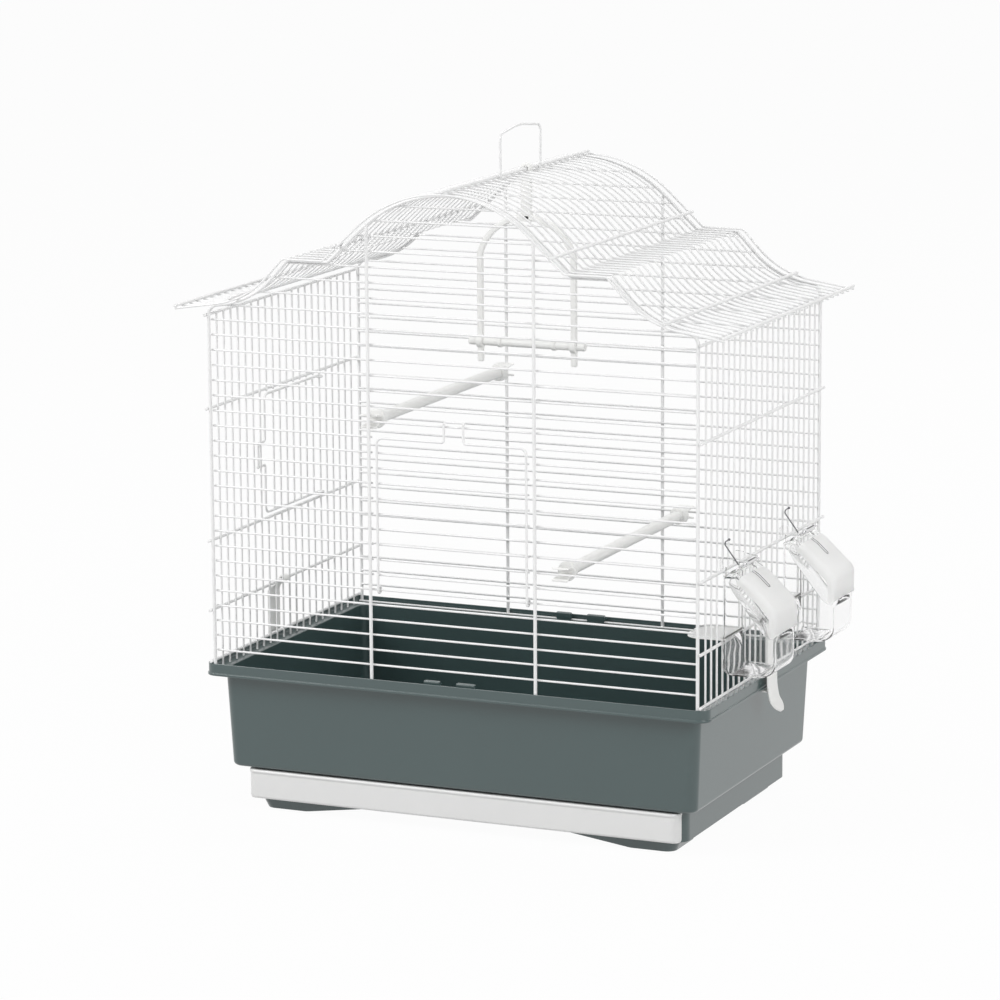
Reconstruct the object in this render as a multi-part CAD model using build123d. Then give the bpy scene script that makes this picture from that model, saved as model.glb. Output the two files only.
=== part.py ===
from build123d import *
import math
import os

# Bird cage: panels of welded wire on a plastic base, a bell-shaped wire roof with a carrying
# handle, two doors, a swing, two perches and two feeders hung on the right-hand side.
# Millimetres, +Z up, the front with the large door and the drawer faces -Y.
# Wires have six flats, and four in the roof, so that crossing wires seat flat to flat.
# A rise is counted up from the side panels' lowest rod, and a drop down from it.

# Driving sizes of the wire body; its depth is a whole number of wire spaces
body_half_x = 245.0       # corner posts, from the middle
body_spaces = 11          # wire spaces from the middle to the front and back posts
pitch = 14.4              # one wire space, the same in every panel
row_gap = 0.15            # between the last wire in the body and the gable wire
first_wire_rise = 11.0    # lowest thin wire of the front and back
low_rod_rises = (0.0, 49.5, 116.4, 243.0)
top_rod_drop = 6.4        # from the eave to the highest side rod
rod_overhang = 3.5        # past the corner posts
bar_stub = 2.5            # of a cut wire past the front bar that it ends on
rod_stub = 2.0            # of an upright past the rod that it ends on

frame_d = 3.3
rod_d = 3.0
wire_d = 2.0
door_d = 2.4
roof_rod_d = 3.2
handle_d = 2.4
post_bend_r = 10.0

# Roof outline: a round crown, a straight pitch, a flat shoulder and a flare out to the eave
ridge_rise = 457.0
crown_r = 125.0
crown_pitch = 43.0
shoulder_below_ridge = 66.5
shoulder_in = 113.5       # from the eave's edge in to the end of the flat shoulder
flare_pitch = 47.0
flare_r = 90.0
eave_pitch = 8.65
eave_out = 30.0           # past the corner posts
eave_below_ridge = 118.6
pitch_rod_x = 107.0       # rod on the straight pitch, from the middle
flare_rod_in = 59.0       # rod on the flare, from the eave's edge
gable_drop = 2.2          # the gable wires run this far below the roof wires
crown_runs = 6            # short runs that stand for a bend's circle; even at the ridge
flare_runs = 3
post_runs = 3
corner_runs = 2
weld_gap = 0.02           # between wires that end against one another

# Doors: which thin wires they replace, and where their sides stand
front_bars = (-81.0, 85.5)
back_bars = (-83.0, 83.0)
front_door_inset = 8.0    # of the door's sides from the bars
front_door_wires = (6, 14)
front_hinge_wire = 5
door_corner_r = 6.0
front_latch = (-4.6, 14.9)
front_latch_tip = 2.4     # past the bend over the wire above the door
side_door_wires = (-3, 4)
side_door_rods = (2, 3)
side_hinge_wire = 5
side_door_gap = 5.3       # from the rods above and below
side_latch = (52.6, 75.6)  # above the rod under the door
side_latch_tip = 2.0
hook_gap = 0.35           # between a hook and the wire that it turns on

# Handle and swing, both on the ridge rod; the swing's drops are counted from the ridge
handle_wire = 3           # its feet stand just past this roof wire
handle_past_wire = 3.8
handle_height = 42.0
handle_corner_r = 6.0
handle_hump = (-11.0, 5.5)
handle_hump_height = 4.5
swing_spaces = 1.5        # wire spaces behind the middle
swing_thickness = 5.0
swing_half = 48.3
swing_band = 6.0
swing_stem_w = 11.0
swing_neck_h = 7.2
swing_arch_drop = 44.0
swing_shoulder_drop = 80.0
swing_perch_drop = 165.0
swing_foot_drop = 183.5
swing_hook_r = 6.0
swing_boss_r = 6.5
swing_perch_d = 8.0
swing_perch_half = 60.0
swing_collar_x = 28.0
swing_collar_d = 10.0
swing_collar_w = 4.0

# Perches between the front and the back panel: side position and the wire they hang on
perch_places = {"perch_high": (-82.0, 16), "perch_low": (109.0, 7)}
perch_d = 11.0
perch_end_r = (7.0, 9.5)
perch_end_l = 26.0
perch_socket_l = 16.0
perch_notch_depth = 2.4
facets = 12               # sides of the small turned pieces
fit_gap = 0.05            # round pieces seated in round holes
slide_gap = 0.3           # pieces that slide or lie loosely

# Base: rim, tub, plinth and feet, each set out or in from the one above it
rim_out = (11.0, 3.8)     # past the corner posts
rim_corner_r = 12.0
rim_top_drop = 1.9
lip_t = 2.0
lip_h = 11.6
channel_drop = 7.7
shell_t = 2.5
tub_in = (3.0, 9.2)       # inside the corner posts
tub_taper = (4.5, 3.0)
tub_corner_r = 10.0
tub_floor_drop = 104.0
tub_edge_r = 4.0
tub_flange_w = 24.0
plinth_in = (14.5, 13.0)  # inside the tub's foot
plinth_corner_r = 14.0
plinth_h = 32.0
foot_h = 11.0
foot_ins = (128.0, 63.0, 23.0, 11.0)  # ramp, flat and outer slope, in from the plinth's side
front_foot_ins = (2.0, 66.0)          # from the plinth's front
rear_foot_ins = (6.0, 93.0)           # from its back
foot_corner = 5.0
tab_xs = ((-28.7, -12.5), (4.2, 23.3))
tab_t = 1.8
tab_rise = 4.5

# Drawer that slides out of the plinth
drawer_in = 3.0           # inside the plinth's sides
drawer_front_t = 11.0
drawer_front_gaps = (2.0, 1.5)  # below the tub, above the plinth's underside
drawer_end_r = 8.0
drawer_bead = 1.6
drawer_bead_h = 4.0
drawer_wall_t = 2.0
drawer_headroom = 8.2     # above the pan
drawer_pan_margin = 9.0
drawer_back_gap = 8.0     # from the pan to the plinth's back

# Feeders on the right-hand panel, centred on a thin wire each. Their sizes are counted out
# from the face of the panel's rods, and up from the rod that carries them.
feeder_wires = {"feeder_front": -6, "feeder_rear": 5}
feeder_rods = (1, 2)      # the uprights are cut between these, and the second one carries
cup_side_gap = 0.3        # to the middle of the next whole upright
cup_depth = 51.9
cup_floor_up = -95.9
cup_face_up = -50.4
cup_top_up = -3.4
cup_lid_out = 13.1
cup_t = 1.5
cup_corner_r = (7.0, 15.0)
cup_mouth_up = -62.8
cup_shelf_reach = 40.0
cup_gap = 0.4             # from the panel's rods
ear_gap = 0.9             # from the next upright
ear_t = 2.0
ear_up = 11.6
lid_axis_out = 17.1
lid_axis_up = 6.1
lid_pin_d = 2.4
lid_t = 1.2
lid_side_gap = 0.7
lid_back = (13.3, 1.8)
lid_crest = (29.1, -5.9)
lid_brow_up = -34.4
lid_brow_r = 14.0
lid_edge = ((47.6, -58.1), (41.6, -54.1), (26.1, -34.9), (12.1, -16.9), (7.6, -8.4))
roller_d = 4.0
knuckle_r = 2.6
knuckle_w = 2.8
feeder_hook_d = 1.6
feeder_hook_y = 12.0
feeder_hook_up = 29.6

# Clips that hold the cage to the base, over the second rod of each side and between two wires
clip_rod = 1
clip_spaces = -0.5        # wire spaces from the middle
clip_gap = 1.2            # beside the finger, to the wires
clip_w = 26.0
clip_t = 2.0
clip_out = 4.0            # past the rim
clip_tail = (15.0, 36.0)  # past the rim, and down

# Places that follow from the sizes above
corner_of_flats = 1 / math.cos(math.radians(30))
cage_z = tub_floor_drop + plinth_h + foot_h
body_half_y = pitch * body_spaces + row_gap + (frame_d + wire_d) / 2
last_side_wire = body_spaces - 1
last_roof_wire = body_spaces + 1
eave_x = body_half_x + eave_out
eave_rise = ridge_rise - eave_below_ridge
shoulder_rise = ridge_rise - shoulder_below_ridge
shoulder_end_x = eave_x - shoulder_in
roof_rod_xs = (0.0, pitch_rod_x, eave_x - flare_rod_in)
rod_rises = low_rod_rises + (eave_rise - top_rod_drop,)
grille_y = body_half_y - (frame_d + wire_d) / 2
rod_x = body_half_x + frame_d / 2 * corner_of_flats + rod_d / 2
upright_x = rod_x - (rod_d + wire_d) / 2
panel_x = rod_x + rod_d / 2
channel_z = cage_z - channel_drop
ridge_rod_z = cage_z + ridge_rise + (wire_d + roof_rod_d) / 2
wire_hook_r = wire_d / 2 * corner_of_flats + hook_gap + door_d / 2
swing_y = pitch * swing_spaces
handle_y = pitch * handle_wire + handle_past_wire
rim_half = (body_half_x + rim_out[0], body_half_y + rim_out[1])
tub_half = (body_half_x - tub_in[0], body_half_y - tub_in[1])
tub_foot_half = (tub_half[0] - tub_taper[0], tub_half[1] - tub_taper[1])
plinth_half = (tub_foot_half[0] - plinth_in[0], tub_foot_half[1] - plinth_in[1])
tub_floor_z = cage_z - tub_floor_drop
drawer_half = plinth_half[0] - drawer_in
feeder_z = cage_z + rod_rises[feeder_rods[1]]
cup_half = 2 * pitch - cup_side_gap
cup_back_x = panel_x + cup_gap
ear_y = pitch + wire_d / 2 + ear_gap
lid_x = panel_x + lid_axis_out
lid_z = feeder_z + lid_axis_up
clip_x = rim_half[0] + clip_out
clip_y = pitch * clip_spaces

# The whole part stands with the middle of its box over the origin
roof_reach = eave_x + roof_rod_d / 2
lid_out_x = panel_x + cup_depth + slide_gap + lid_t
middle_x = (lid_out_x - roof_reach) / 2


def wire_z(count):
    return cage_z + first_wire_rise + pitch * count


# Wires
def flats(d):
    """Section of a wire: six flats, the distance d apart."""
    return RegularPolygon(d / 2, 6, major_radius=False)


def straight_wire(start, end, d, facing):
    """Wire between two points, with two of its flats square to the direction facing."""
    start = Vector(start)
    run = Vector(end) - start
    along = run.normalized()
    section = Plane(start, x_dir=Vector(facing).cross(along), z_dir=along) * flats(d)
    return extrude(section, amount=run.length, dir=along)


def bent_wire(points, d, across, facing_across=False):
    """Wire through the points. The direction across is square to its bends, and the wire
    has an edge towards it, or a flat if facing_across."""
    section = Rot(0, 0, 30) * flats(d) if facing_across else flats(d)
    return swept(section, points, across)


def swept(section, points, across):
    points = [Vector(p) for p in points]
    along = (points[1] - points[0]).normalized()
    section = Plane(points[0], x_dir=Vector(across), z_dir=along) * section
    return sweep(section, path=Polyline(*points), transition=Transition.RIGHT)


def rounded(corners, bends):
    """The route past the corners. Each bend is its radius and the number of short runs'
    corners that go round its circle, or None for a corner that stays sharp."""
    corners = [Vector(c) for c in corners]
    route = [corners[0]]
    for before, corner, after, bend in zip(corners, corners[1:], corners[2:], bends):
        if bend is None:
            route.append(corner)
            continue
        radius, runs = bend
        into = (corner - before).normalized()
        out = (after - corner).normalized()
        turn = math.radians(into.get_angle(out))
        centre = corner + (out - into).normalized() * (radius / math.cos(turn / 2))
        start = (corner - into * (radius * math.tan(turn / 2)) - centre).normalized()
        reach = radius / math.cos(turn / runs / 2)
        for i in range(runs):
            angle = turn * (i + 0.5) / runs
            ray = start * math.cos(angle) + into * math.sin(angle)
            route.append(centre + ray * reach)
    route.append(corners[-1])
    return route


def slope(degrees):
    return math.tan(math.radians(degrees))


# Roof outline
def roof_corners(drop):
    """Corners of the right half from the ridge out, where the straight runs would meet."""
    low = cage_z - drop
    peak = ridge_rise + crown_r * (1 / math.cos(math.radians(crown_pitch)) - 1)
    shoulder_x = (peak - shoulder_rise) / slope(crown_pitch)
    flare_x = shoulder_rise - eave_rise + slope(flare_pitch) * shoulder_end_x
    flare_x = (flare_x - slope(eave_pitch) * eave_x) / (slope(flare_pitch) - slope(eave_pitch))
    flare_rise = eave_rise + slope(eave_pitch) * (eave_x - flare_x)
    return [
        (0, low + peak),
        (shoulder_x, low + shoulder_rise),
        (shoulder_end_x, low + shoulder_rise),
        (flare_x, low + flare_rise),
    ]


def mirrored(corners):
    """The whole outline from left to right, for corners given from the ridge out."""
    return [(-x, 0, z) for x, z in reversed(corners[1:])] + [(x, 0, z) for x, z in corners]


def roof_outline():
    corners = roof_corners(0) + [(eave_x, cage_z + eave_rise)]
    return rounded(mirrored(corners), roof_bends())


def roof_bends():
    flare = (flare_r, flare_runs)
    return [flare, None, None, (crown_r, crown_runs), None, None, flare]


def gable_outline():
    """Frame wire of the front and back: up one post, along the gable, down the other."""
    corners = roof_corners(gable_drop)
    post_x = body_half_x
    post_z = cage_z + eave_rise - gable_drop + slope(eave_pitch) * (eave_x - post_x)
    corners += [(post_x, post_z), (post_x, channel_z)]
    post_bend = (post_bend_r, post_runs)
    return rounded(mirrored(corners), [post_bend] + roof_bends() + [post_bend])


def seat_on_roof(x):
    """Point on the roof wires' middle line over x, and the direction square to it."""
    route = roof_outline()
    for a, b in zip(route, route[1:]):
        if a.X <= x <= b.X:
            share = (x - a.X) / (b.X - a.X)
            run = (b - a).normalized()
            return a + (b - a) * share, Vector(-run.Z, 0, run.X)


def gable_half_width(z):
    """How far the frame wire stands from the middle at height z."""
    route = [p for p in gable_outline() if p.X >= 0]
    for a, b in zip(route, route[1:]):
        if b.Z <= z <= a.Z and a.Z > b.Z:
            return a.X + (b.X - a.X) * (a.Z - z) / (a.Z - b.Z)
    return 0


def gable_z(x):
    """Height of the frame wire's middle over x."""
    route = gable_outline()
    for a, b in zip(route, route[1:]):
        if a.X <= x <= b.X and b.X > a.X:
            return a.Z + (b.Z - a.Z) * (x - a.X) / (b.X - a.X)


def roof_wires():
    wire = swept(Rectangle(wire_d, wire_d), roof_outline(), (0, 1, 0))
    counts = range(-last_roof_wire, last_roof_wire + 1)
    return [Pos(0, pitch * count, 0) * wire for count in counts]


def roof_rods():
    """Rods along the roof, welded on top of its wires, and one near each eave's edge."""
    half = pitch * last_roof_wire + wire_d
    inner = [side * x for x in roof_rod_xs for side in (1, -1) if x or side == 1]
    outer = [side * (eave_x - roof_rod_d / 2) for side in (1, -1)]
    rods = []
    for x in inner + outer:
        seat, up = seat_on_roof(x)
        middle = seat + up * ((wire_d + roof_rod_d) / 2)
        reach = Vector(0, half, 0)
        rods.append(straight_wire(middle - reach, middle + reach, roof_rod_d, up))
    return rods


# Front and back panels
def end_panel_frame(side, bars):
    """Bent frame wire with its two uprights; side is -1 at the front and 1 at the back."""
    y = side * body_half_y
    frame = [Pos(0, y, 0) * bent_wire(gable_outline(), frame_d, (0, 1, 0), True)]
    for x in bars:
        top = gable_z(x) - frame_d * math.hypot(1, slope(crown_pitch)) / 2
        frame.append(straight_wire((x, y, channel_z), (x, y, top), frame_d, (0, 1, 0)))
    return frame


def grille_wire(side, left, right, z):
    y = side * grille_y
    return straight_wire((left, y, z), (right, y, z), wire_d, (0, 1, 0))


def end_panel_grille(side, bars, cut):
    """Thin wires across the front or back, cut between the bars for the door's wires."""
    flat_end = body_half_x + frame_d / 2
    low = channel_z + wire_d / 2 * corner_of_flats + weld_gap
    wires = [grille_wire(side, -flat_end, flat_end, low)]
    count = 0
    while gable_half_width(wire_z(count)) > pitch * 2:
        z = wire_z(count)
        reach = min(gable_half_width(z) - wire_d / 2, flat_end)
        if count in cut:
            wires.append(grille_wire(side, -reach, bars[0] + bar_stub, z))
            wires.append(grille_wire(side, bars[1] - bar_stub, reach, z))
        else:
            wires.append(grille_wire(side, -reach, reach, z))
        count += 1
    return wires


# Side panels
def side_rod(side, rise):
    x = side * rod_x
    z = cage_z + rise
    reach = body_half_y + rod_overhang
    return straight_wire((x, -reach, z), (x, reach, z), rod_d, (1, 0, 0))


def upright(side, count, low, high):
    x = side * upright_x
    y = pitch * count
    return straight_wire((x, y, low), (x, y, high), wire_d, (1, 0, 0))


def side_panel(side, cut, cut_rods):
    """Rods outside and thin uprights inside; the cut uprights stop at the two cut_rods."""
    low = channel_z
    high = cage_z + rod_rises[-1] + rod_stub
    gap_low = cage_z + rod_rises[cut_rods[0]] + rod_stub
    gap_high = cage_z + rod_rises[cut_rods[1]] - rod_stub
    wires = [side_rod(side, rise) for rise in rod_rises]
    for count in range(-last_side_wire, last_side_wire + 1):
        if count in cut:
            wires.append(upright(side, count, low, gap_low))
            wires.append(upright(side, count, gap_high, high))
        else:
            wires.append(upright(side, count, low, high))
    return wires


# Doors, each with wire hooks that turn on a wire of the panel
def front_door():
    """Drop-down door in front of its wires: one bent wire, hooked round the hinge wire at
    both ends, with a latch in its top edge, and the thin wires across it."""
    y = -(grille_y + wire_hook_r)
    axis_y = -grille_y
    axis_z = wire_z(front_hinge_wire)
    top = wire_z(front_door_wires[1] + 1)
    left = front_bars[0] + front_door_inset
    right = front_bars[1] - front_door_inset
    neck_z = wire_z(front_door_wires[1] + 2) + (wire_d + door_d) / 2
    tip_z = neck_z + front_latch_tip
    tip_y = axis_y - door_d / 4
    hook = [
        (axis_y + wire_hook_r - door_d, axis_z + wire_hook_r),
        (axis_y + wire_hook_r, axis_z + wire_hook_r),
        (axis_y + wire_hook_r, axis_z - wire_hook_r),
        (y, axis_z - wire_hook_r),
    ]
    route = [(left, *point) for point in hook]
    route += [(left, y, top), (front_latch[0], y, top), (front_latch[0], y, neck_z)]
    route += [(front_latch[0], tip_y, tip_z), (front_latch[1], tip_y, tip_z)]
    route += [(front_latch[1], y, neck_z), (front_latch[1], y, top), (right, y, top)]
    route += [(right, *point) for point in reversed(hook)]
    wires = [bent_wire(rounded(route, door_bends()), door_d, (1, 0, 0))]
    inner_y = y + (door_d + wire_d) / 2
    for count in range(front_door_wires[0], front_door_wires[1] + 1):
        z = wire_z(count)
        start = (left - wire_d, inner_y, z)
        end = (right + wire_d, inner_y, z)
        wires.append(straight_wire(start, end, wire_d, (0, 1, 0)))
    return wires


def door_bends():
    """Bends of a door's wire: two hooks, two round corners and a latch with sharp ones."""
    hook = [(wire_hook_r / 2, corner_runs)] * 3
    corner = [(door_corner_r, corner_runs)]
    return hook + corner + [None] * 6 + corner + hook


def side_door():
    """Door outside the left panel; it turns on one of the panel's uprights."""
    axis_x = -upright_x
    x = axis_x - wire_hook_r
    axis_y = pitch * side_hinge_wire
    free_y = pitch * side_door_wires[0]
    rod_low, rod_high = (cage_z + rod_rises[rod] for rod in side_door_rods)
    low = rod_low + side_door_gap
    high = rod_high - side_door_gap
    latch_low, latch_high = (rod_low + up for up in side_latch)
    neck_y = pitch * (side_door_wires[0] - 1) - (wire_d + door_d) / 2
    tip_y = neck_y - side_latch_tip
    tip_x = axis_x - door_d / 4
    hook = [
        (axis_x + wire_hook_r - door_d, axis_y - wire_hook_r),
        (axis_x + wire_hook_r, axis_y - wire_hook_r),
        (axis_x + wire_hook_r, axis_y + wire_hook_r),
        (x, axis_y + wire_hook_r),
    ]
    route = [(*point, high) for point in hook]
    route += [(x, free_y, high), (x, free_y, latch_high), (x, neck_y, latch_high)]
    route += [(tip_x, tip_y, latch_high), (tip_x, tip_y, latch_low)]
    route += [(x, neck_y, latch_low), (x, free_y, latch_low), (x, free_y, low)]
    route += [(*point, low) for point in reversed(hook)]
    wires = [bent_wire(rounded(route, door_bends()), door_d, (0, 0, 1))]
    inner_x = x + (door_d + wire_d) / 2
    for count in range(side_door_wires[0] + 1, side_door_wires[1] + 1):
        y = pitch * count
        wires.append(straight_wire((inner_x, y, low), (inner_x, y, high), wire_d, (1, 0, 0)))
    return wires


# Handle and swing
def handle():
    """Bent wire that hooks under the ridge rod at both ends, with a hump in the middle."""
    hook_r = roof_rod_d / 2 * corner_of_flats + hook_gap + handle_d / 2
    top = cage_z + ridge_rise + handle_height
    hump = top + handle_hump_height
    hook = [
        (-hook_r, ridge_rod_z + hook_r),
        (-hook_r, ridge_rod_z - hook_r),
        (hook_r, ridge_rod_z - hook_r),
    ]
    route = [(x, -handle_y, z) for x, z in hook]
    route += [(hook_r, -handle_y, top), (hook_r, handle_hump[0], hump)]
    route += [(hook_r, handle_hump[1], hump), (hook_r, handle_y, top)]
    route += [(x, handle_y, z) for x, z in reversed(hook)]
    curl = [(hook_r / 2, corner_runs)] * 2
    corner = [(handle_corner_r, corner_runs)]
    bends = curl + corner + [None, None] + corner + curl
    return [bent_wire(rounded(route, bends), handle_d, (0, 1, 0))]


def standing(face, middle_y, thickness):
    """Plate with its outline in the XZ plane, centred on middle_y."""
    plate = Plane.XZ.offset(-middle_y - thickness / 2) * face
    return extrude(plate, amount=thickness)


def swing_frame():
    """Arch with a flat stem that ends in an open hook, and a bored boss on each leg."""
    outer = swing_half + swing_band / 2
    inner = swing_half - swing_band / 2
    ridge_z = cage_z + ridge_rise
    shoulder = ridge_z - swing_shoulder_drop
    foot = ridge_z - swing_foot_drop
    arch_top = ridge_z - swing_arch_drop
    rim = ThreePointArc((-outer, shoulder), (0, arch_top + swing_band / 2), (outer, shoulder))
    hollow = ThreePointArc((inner, shoulder), (0, arch_top - swing_band / 2), (-inner, shoulder))
    sides = [Line((-outer, foot), (-outer, shoulder)), Line((outer, shoulder), (outer, foot))]
    sides += [Line((outer, foot), (inner, foot)), Line((inner, foot), (inner, shoulder))]
    sides += [Line((-inner, shoulder), (-inner, foot)), Line((-inner, foot), (-outer, foot))]
    outline = make_face(Curve() + [rim, hollow] + sides)
    stem_top = ridge_rod_z - swing_hook_r
    stem = Pos(0, (arch_top + stem_top) / 2) * Rectangle(swing_stem_w, stem_top - arch_top)
    neck = Pos(0, stem_top) * Rectangle(swing_hook_r, swing_neck_h)
    hook = Pos(0, ridge_rod_z) * Circle(swing_hook_r)
    outline += stem + neck + hook
    bore_r = roof_rod_d / 2 * corner_of_flats + hook_gap
    outline -= Pos(0, ridge_rod_z) * Circle(bore_r)
    mouth = Pos(-swing_hook_r, ridge_rod_z - bore_r) * Rectangle(2 * swing_hook_r, 2 * bore_r)
    outline -= mouth
    frame = standing(outline, swing_y, swing_thickness)
    middle = Pos(0, swing_y, ridge_z - swing_perch_drop)
    for x in (-swing_half, swing_half):
        frame += middle * rod_along(Plane.YZ, turned(2 * swing_boss_r), swing_band / 2, x)
        frame -= middle * rod_along(Plane.YZ, turned_bore(swing_perch_d), swing_band, x)
    return [frame]


def rod_along(axis_plane, section, half, middle=0):
    return extrude(axis_plane.offset(middle - half) * section, amount=2 * half)


def turned(d):
    """Section of a small turned piece: its corners lie on the circle d."""
    return RegularPolygon(d / 2, facets)


def turned_bore(d):
    """Hole for a turned piece, with the fitting gap round it."""
    return RegularPolygon(d / 2 + fit_gap, facets, major_radius=False)


def swing_perch():
    """Dowel through the two bosses, with a collar near each of them."""
    bar = rod_along(Plane.YZ, turned(swing_perch_d), swing_perch_half)
    for x in (-swing_collar_x, swing_collar_x):
        bar += rod_along(Plane.YZ, turned(swing_collar_d), swing_collar_w / 2, x)
    return [Pos(0, swing_y, cage_z + ridge_rise - swing_perch_drop) * bar]


# Perches
def perch(name):
    """Dowel along the cage, held in a socket at each end."""
    x, count = perch_places[name]
    socket_floor = grille_y + wire_d / 2 - perch_end_l + perch_socket_l
    bar = rod_along(Plane.XZ, turned(perch_d), socket_floor - slide_gap)
    return [Pos(x, 0, wire_z(count)) * bar]


def perch_ends(name):
    """Flared sockets whose notched ends clip onto a wire of the front and back panels."""
    x, count = perch_places[name]
    tip = grille_y + wire_d / 2
    end = loft([
        Plane.XZ.offset(-tip) * RegularPolygon(perch_end_r[1], facets),
        Plane.XZ.offset(perch_end_l - tip) * RegularPolygon(perch_end_r[0], facets),
    ])
    socket = Plane.XZ.offset(perch_end_l - tip - perch_socket_l)
    end -= extrude(socket * turned_bore(perch_d), amount=perch_socket_l)
    notch = Box(4 * perch_d, 2 * perch_notch_depth, wire_d * corner_of_flats + hook_gap)
    end -= Pos(0, tip, 0) * notch
    back = Pos(x, 0, wire_z(count)) * end
    return [back, mirror(back, about=Plane.XZ)]


# Base
def block(half, radius, low, high):
    plan = RectangleRounded(2 * half[0], 2 * half[1], radius)
    return extrude(Plane.XY.offset(low) * plan, amount=high - low)


def less(half, wall):
    return half[0] - wall, half[1] - wall


def tapered_block(half_low, half_high, radius, low, high):
    plans = [
        Plane.XY.offset(low) * RectangleRounded(2 * half_low[0], 2 * half_low[1], radius),
        Plane.XY.offset(high) * RectangleRounded(2 * half_high[0], 2 * half_high[1], radius),
    ]
    return loft(plans)


def tub():
    """Deep tray with a channel round its rim that the cage stands in; its floor is open
    inside a flange, over the drawer."""
    rim_top = cage_z - rim_top_drop
    lip_foot = rim_top - lip_h
    lip_in = less(rim_half, lip_t)
    lip_in_r = rim_corner_r - lip_t
    wall = tub_wall()
    body = wall + block(rim_half, rim_corner_r, lip_foot, rim_top)
    body -= block(lip_in, lip_in_r, channel_z, rim_top)
    body -= block(lip_in, lip_in_r, lip_foot, channel_z - shell_t) - wall
    inside_low = less(tub_foot_half, shell_t)
    inside_high = less(tub_half, shell_t)
    inside_r = tub_corner_r - shell_t
    body -= tapered_block(inside_low, inside_high, inside_r, tub_floor_z + shell_t, channel_z)
    window = less(tub_foot_half, tub_flange_w)
    body -= block(window, inside_r, tub_floor_z, tub_floor_z + shell_t)
    return [body + rim_tabs()]


def tub_wall():
    """Outside of the tub: tapered walls over an edge that is rounded in two steps."""
    halfway = tub_edge_r * (1 - math.cos(math.radians(45)))
    plans = []
    for inset, height in ((tub_edge_r, 0), (halfway, halfway), (0, tub_edge_r)):
        half = less(tub_foot_half, inset)
        plan = RectangleRounded(2 * half[0], 2 * half[1], tub_corner_r - inset)
        plans.append(Plane.XY.offset(tub_floor_z + height) * plan)
    plan = RectangleRounded(2 * tub_half[0], 2 * tub_half[1], tub_corner_r)
    plans.append(Plane.XY.offset(channel_z) * plan)
    return loft(plans, ruled=True)


def rim_tabs():
    """Pairs of hooked tabs that hold down the lowest wire of the front and back."""
    inner_y = grille_y - wire_d / 2 - hook_gap - tab_t
    outer_y = grille_y + wire_d / 2
    wire_top = channel_z + wire_d + hook_gap
    cap_h = channel_z + tab_rise - wire_top
    tabs = []
    for low_x, high_x in tab_xs:
        middle = (low_x + high_x) / 2
        width = high_x - low_x
        stem = Pos(middle, inner_y + tab_t / 2, channel_z + tab_rise / 2)
        stem = stem * Box(width, tab_t, tab_rise)
        cap = Pos(middle, (inner_y + outer_y) / 2, wire_top + cap_h / 2)
        cap = cap * Box(width, outer_y - inner_y, cap_h)
        tab = stem + cap
        tabs += [tab, mirror(tab, about=Plane.XZ)]
    return tabs


def plinth():
    """Lower box under the tub, open in front for the drawer, standing on four feet."""
    floor = tub_floor_z - plinth_h
    body = block(plinth_half, plinth_corner_r, floor, tub_floor_z)
    inner_r = plinth_corner_r - shell_t
    body -= block(less(plinth_half, shell_t), inner_r, floor + shell_t, tub_floor_z)
    slot_half = drawer_half - drawer_pan_margin + slide_gap
    slot_h = pan_height() + 2 * slide_gap
    slot = Pos(0, -plinth_half[1], floor + shell_t + slot_h / 2)
    body -= slot * Box(2 * slot_half, 4 * plinth_corner_r, slot_h)
    front_low, front_high = (-plinth_half[1] + inset for inset in front_foot_ins)
    rear_high, rear_low = (plinth_half[1] - inset for inset in rear_foot_ins)
    for side in (-1, 1):
        body += foot(side, front_low, front_high, floor)
        body += foot(side, rear_low, rear_high, floor)
    return [body]


def foot(side, low_y, high_y, floor):
    """Foot with a long ramp on its inner side and its corners cut off."""
    ramp_x, flat_x, flat_end_x, outer_x = (plinth_half[0] - inset for inset in foot_ins)
    ground = floor - foot_h
    outline = Polyline(
        (ramp_x, floor), (flat_x, ground), (flat_end_x, ground), (outer_x, floor), close=True
    )
    run = extrude(Plane.XZ.offset(-high_y) * make_face(outline), amount=high_y - low_y)
    middle = Pos((ramp_x + outer_x) / 2, (low_y + high_y) / 2, ground)
    plan = Rectangle(outer_x - ramp_x, high_y - low_y)
    plan = chamfer(plan.vertices(), foot_corner)
    run &= middle * extrude(plan, amount=foot_h)
    return run if side == 1 else mirror(run, about=Plane.YZ)


# Drawer
def pan_height():
    return plinth_h - shell_t - slide_gap - drawer_headroom


def drawer_pan():
    """Open pan that slides on the plinth's floor."""
    floor = tub_floor_z - plinth_h + shell_t + slide_gap
    half_x = drawer_half - drawer_pan_margin
    front = plinth_half[1] + slide_gap
    back = plinth_half[1] - drawer_back_gap
    middle = Pos(0, (back - front) / 2, floor)
    on_floor = (Align.CENTER, Align.CENTER, Align.MIN)
    outside = Box(2 * half_x, front + back, pan_height(), align=on_floor)
    inner = [2 * half_x - 2 * drawer_wall_t, front + back - 2 * drawer_wall_t]
    inside = Box(*inner, pan_height(), align=on_floor)
    return [middle * (outside - Pos(0, 0, drawer_wall_t) * inside)]


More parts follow.
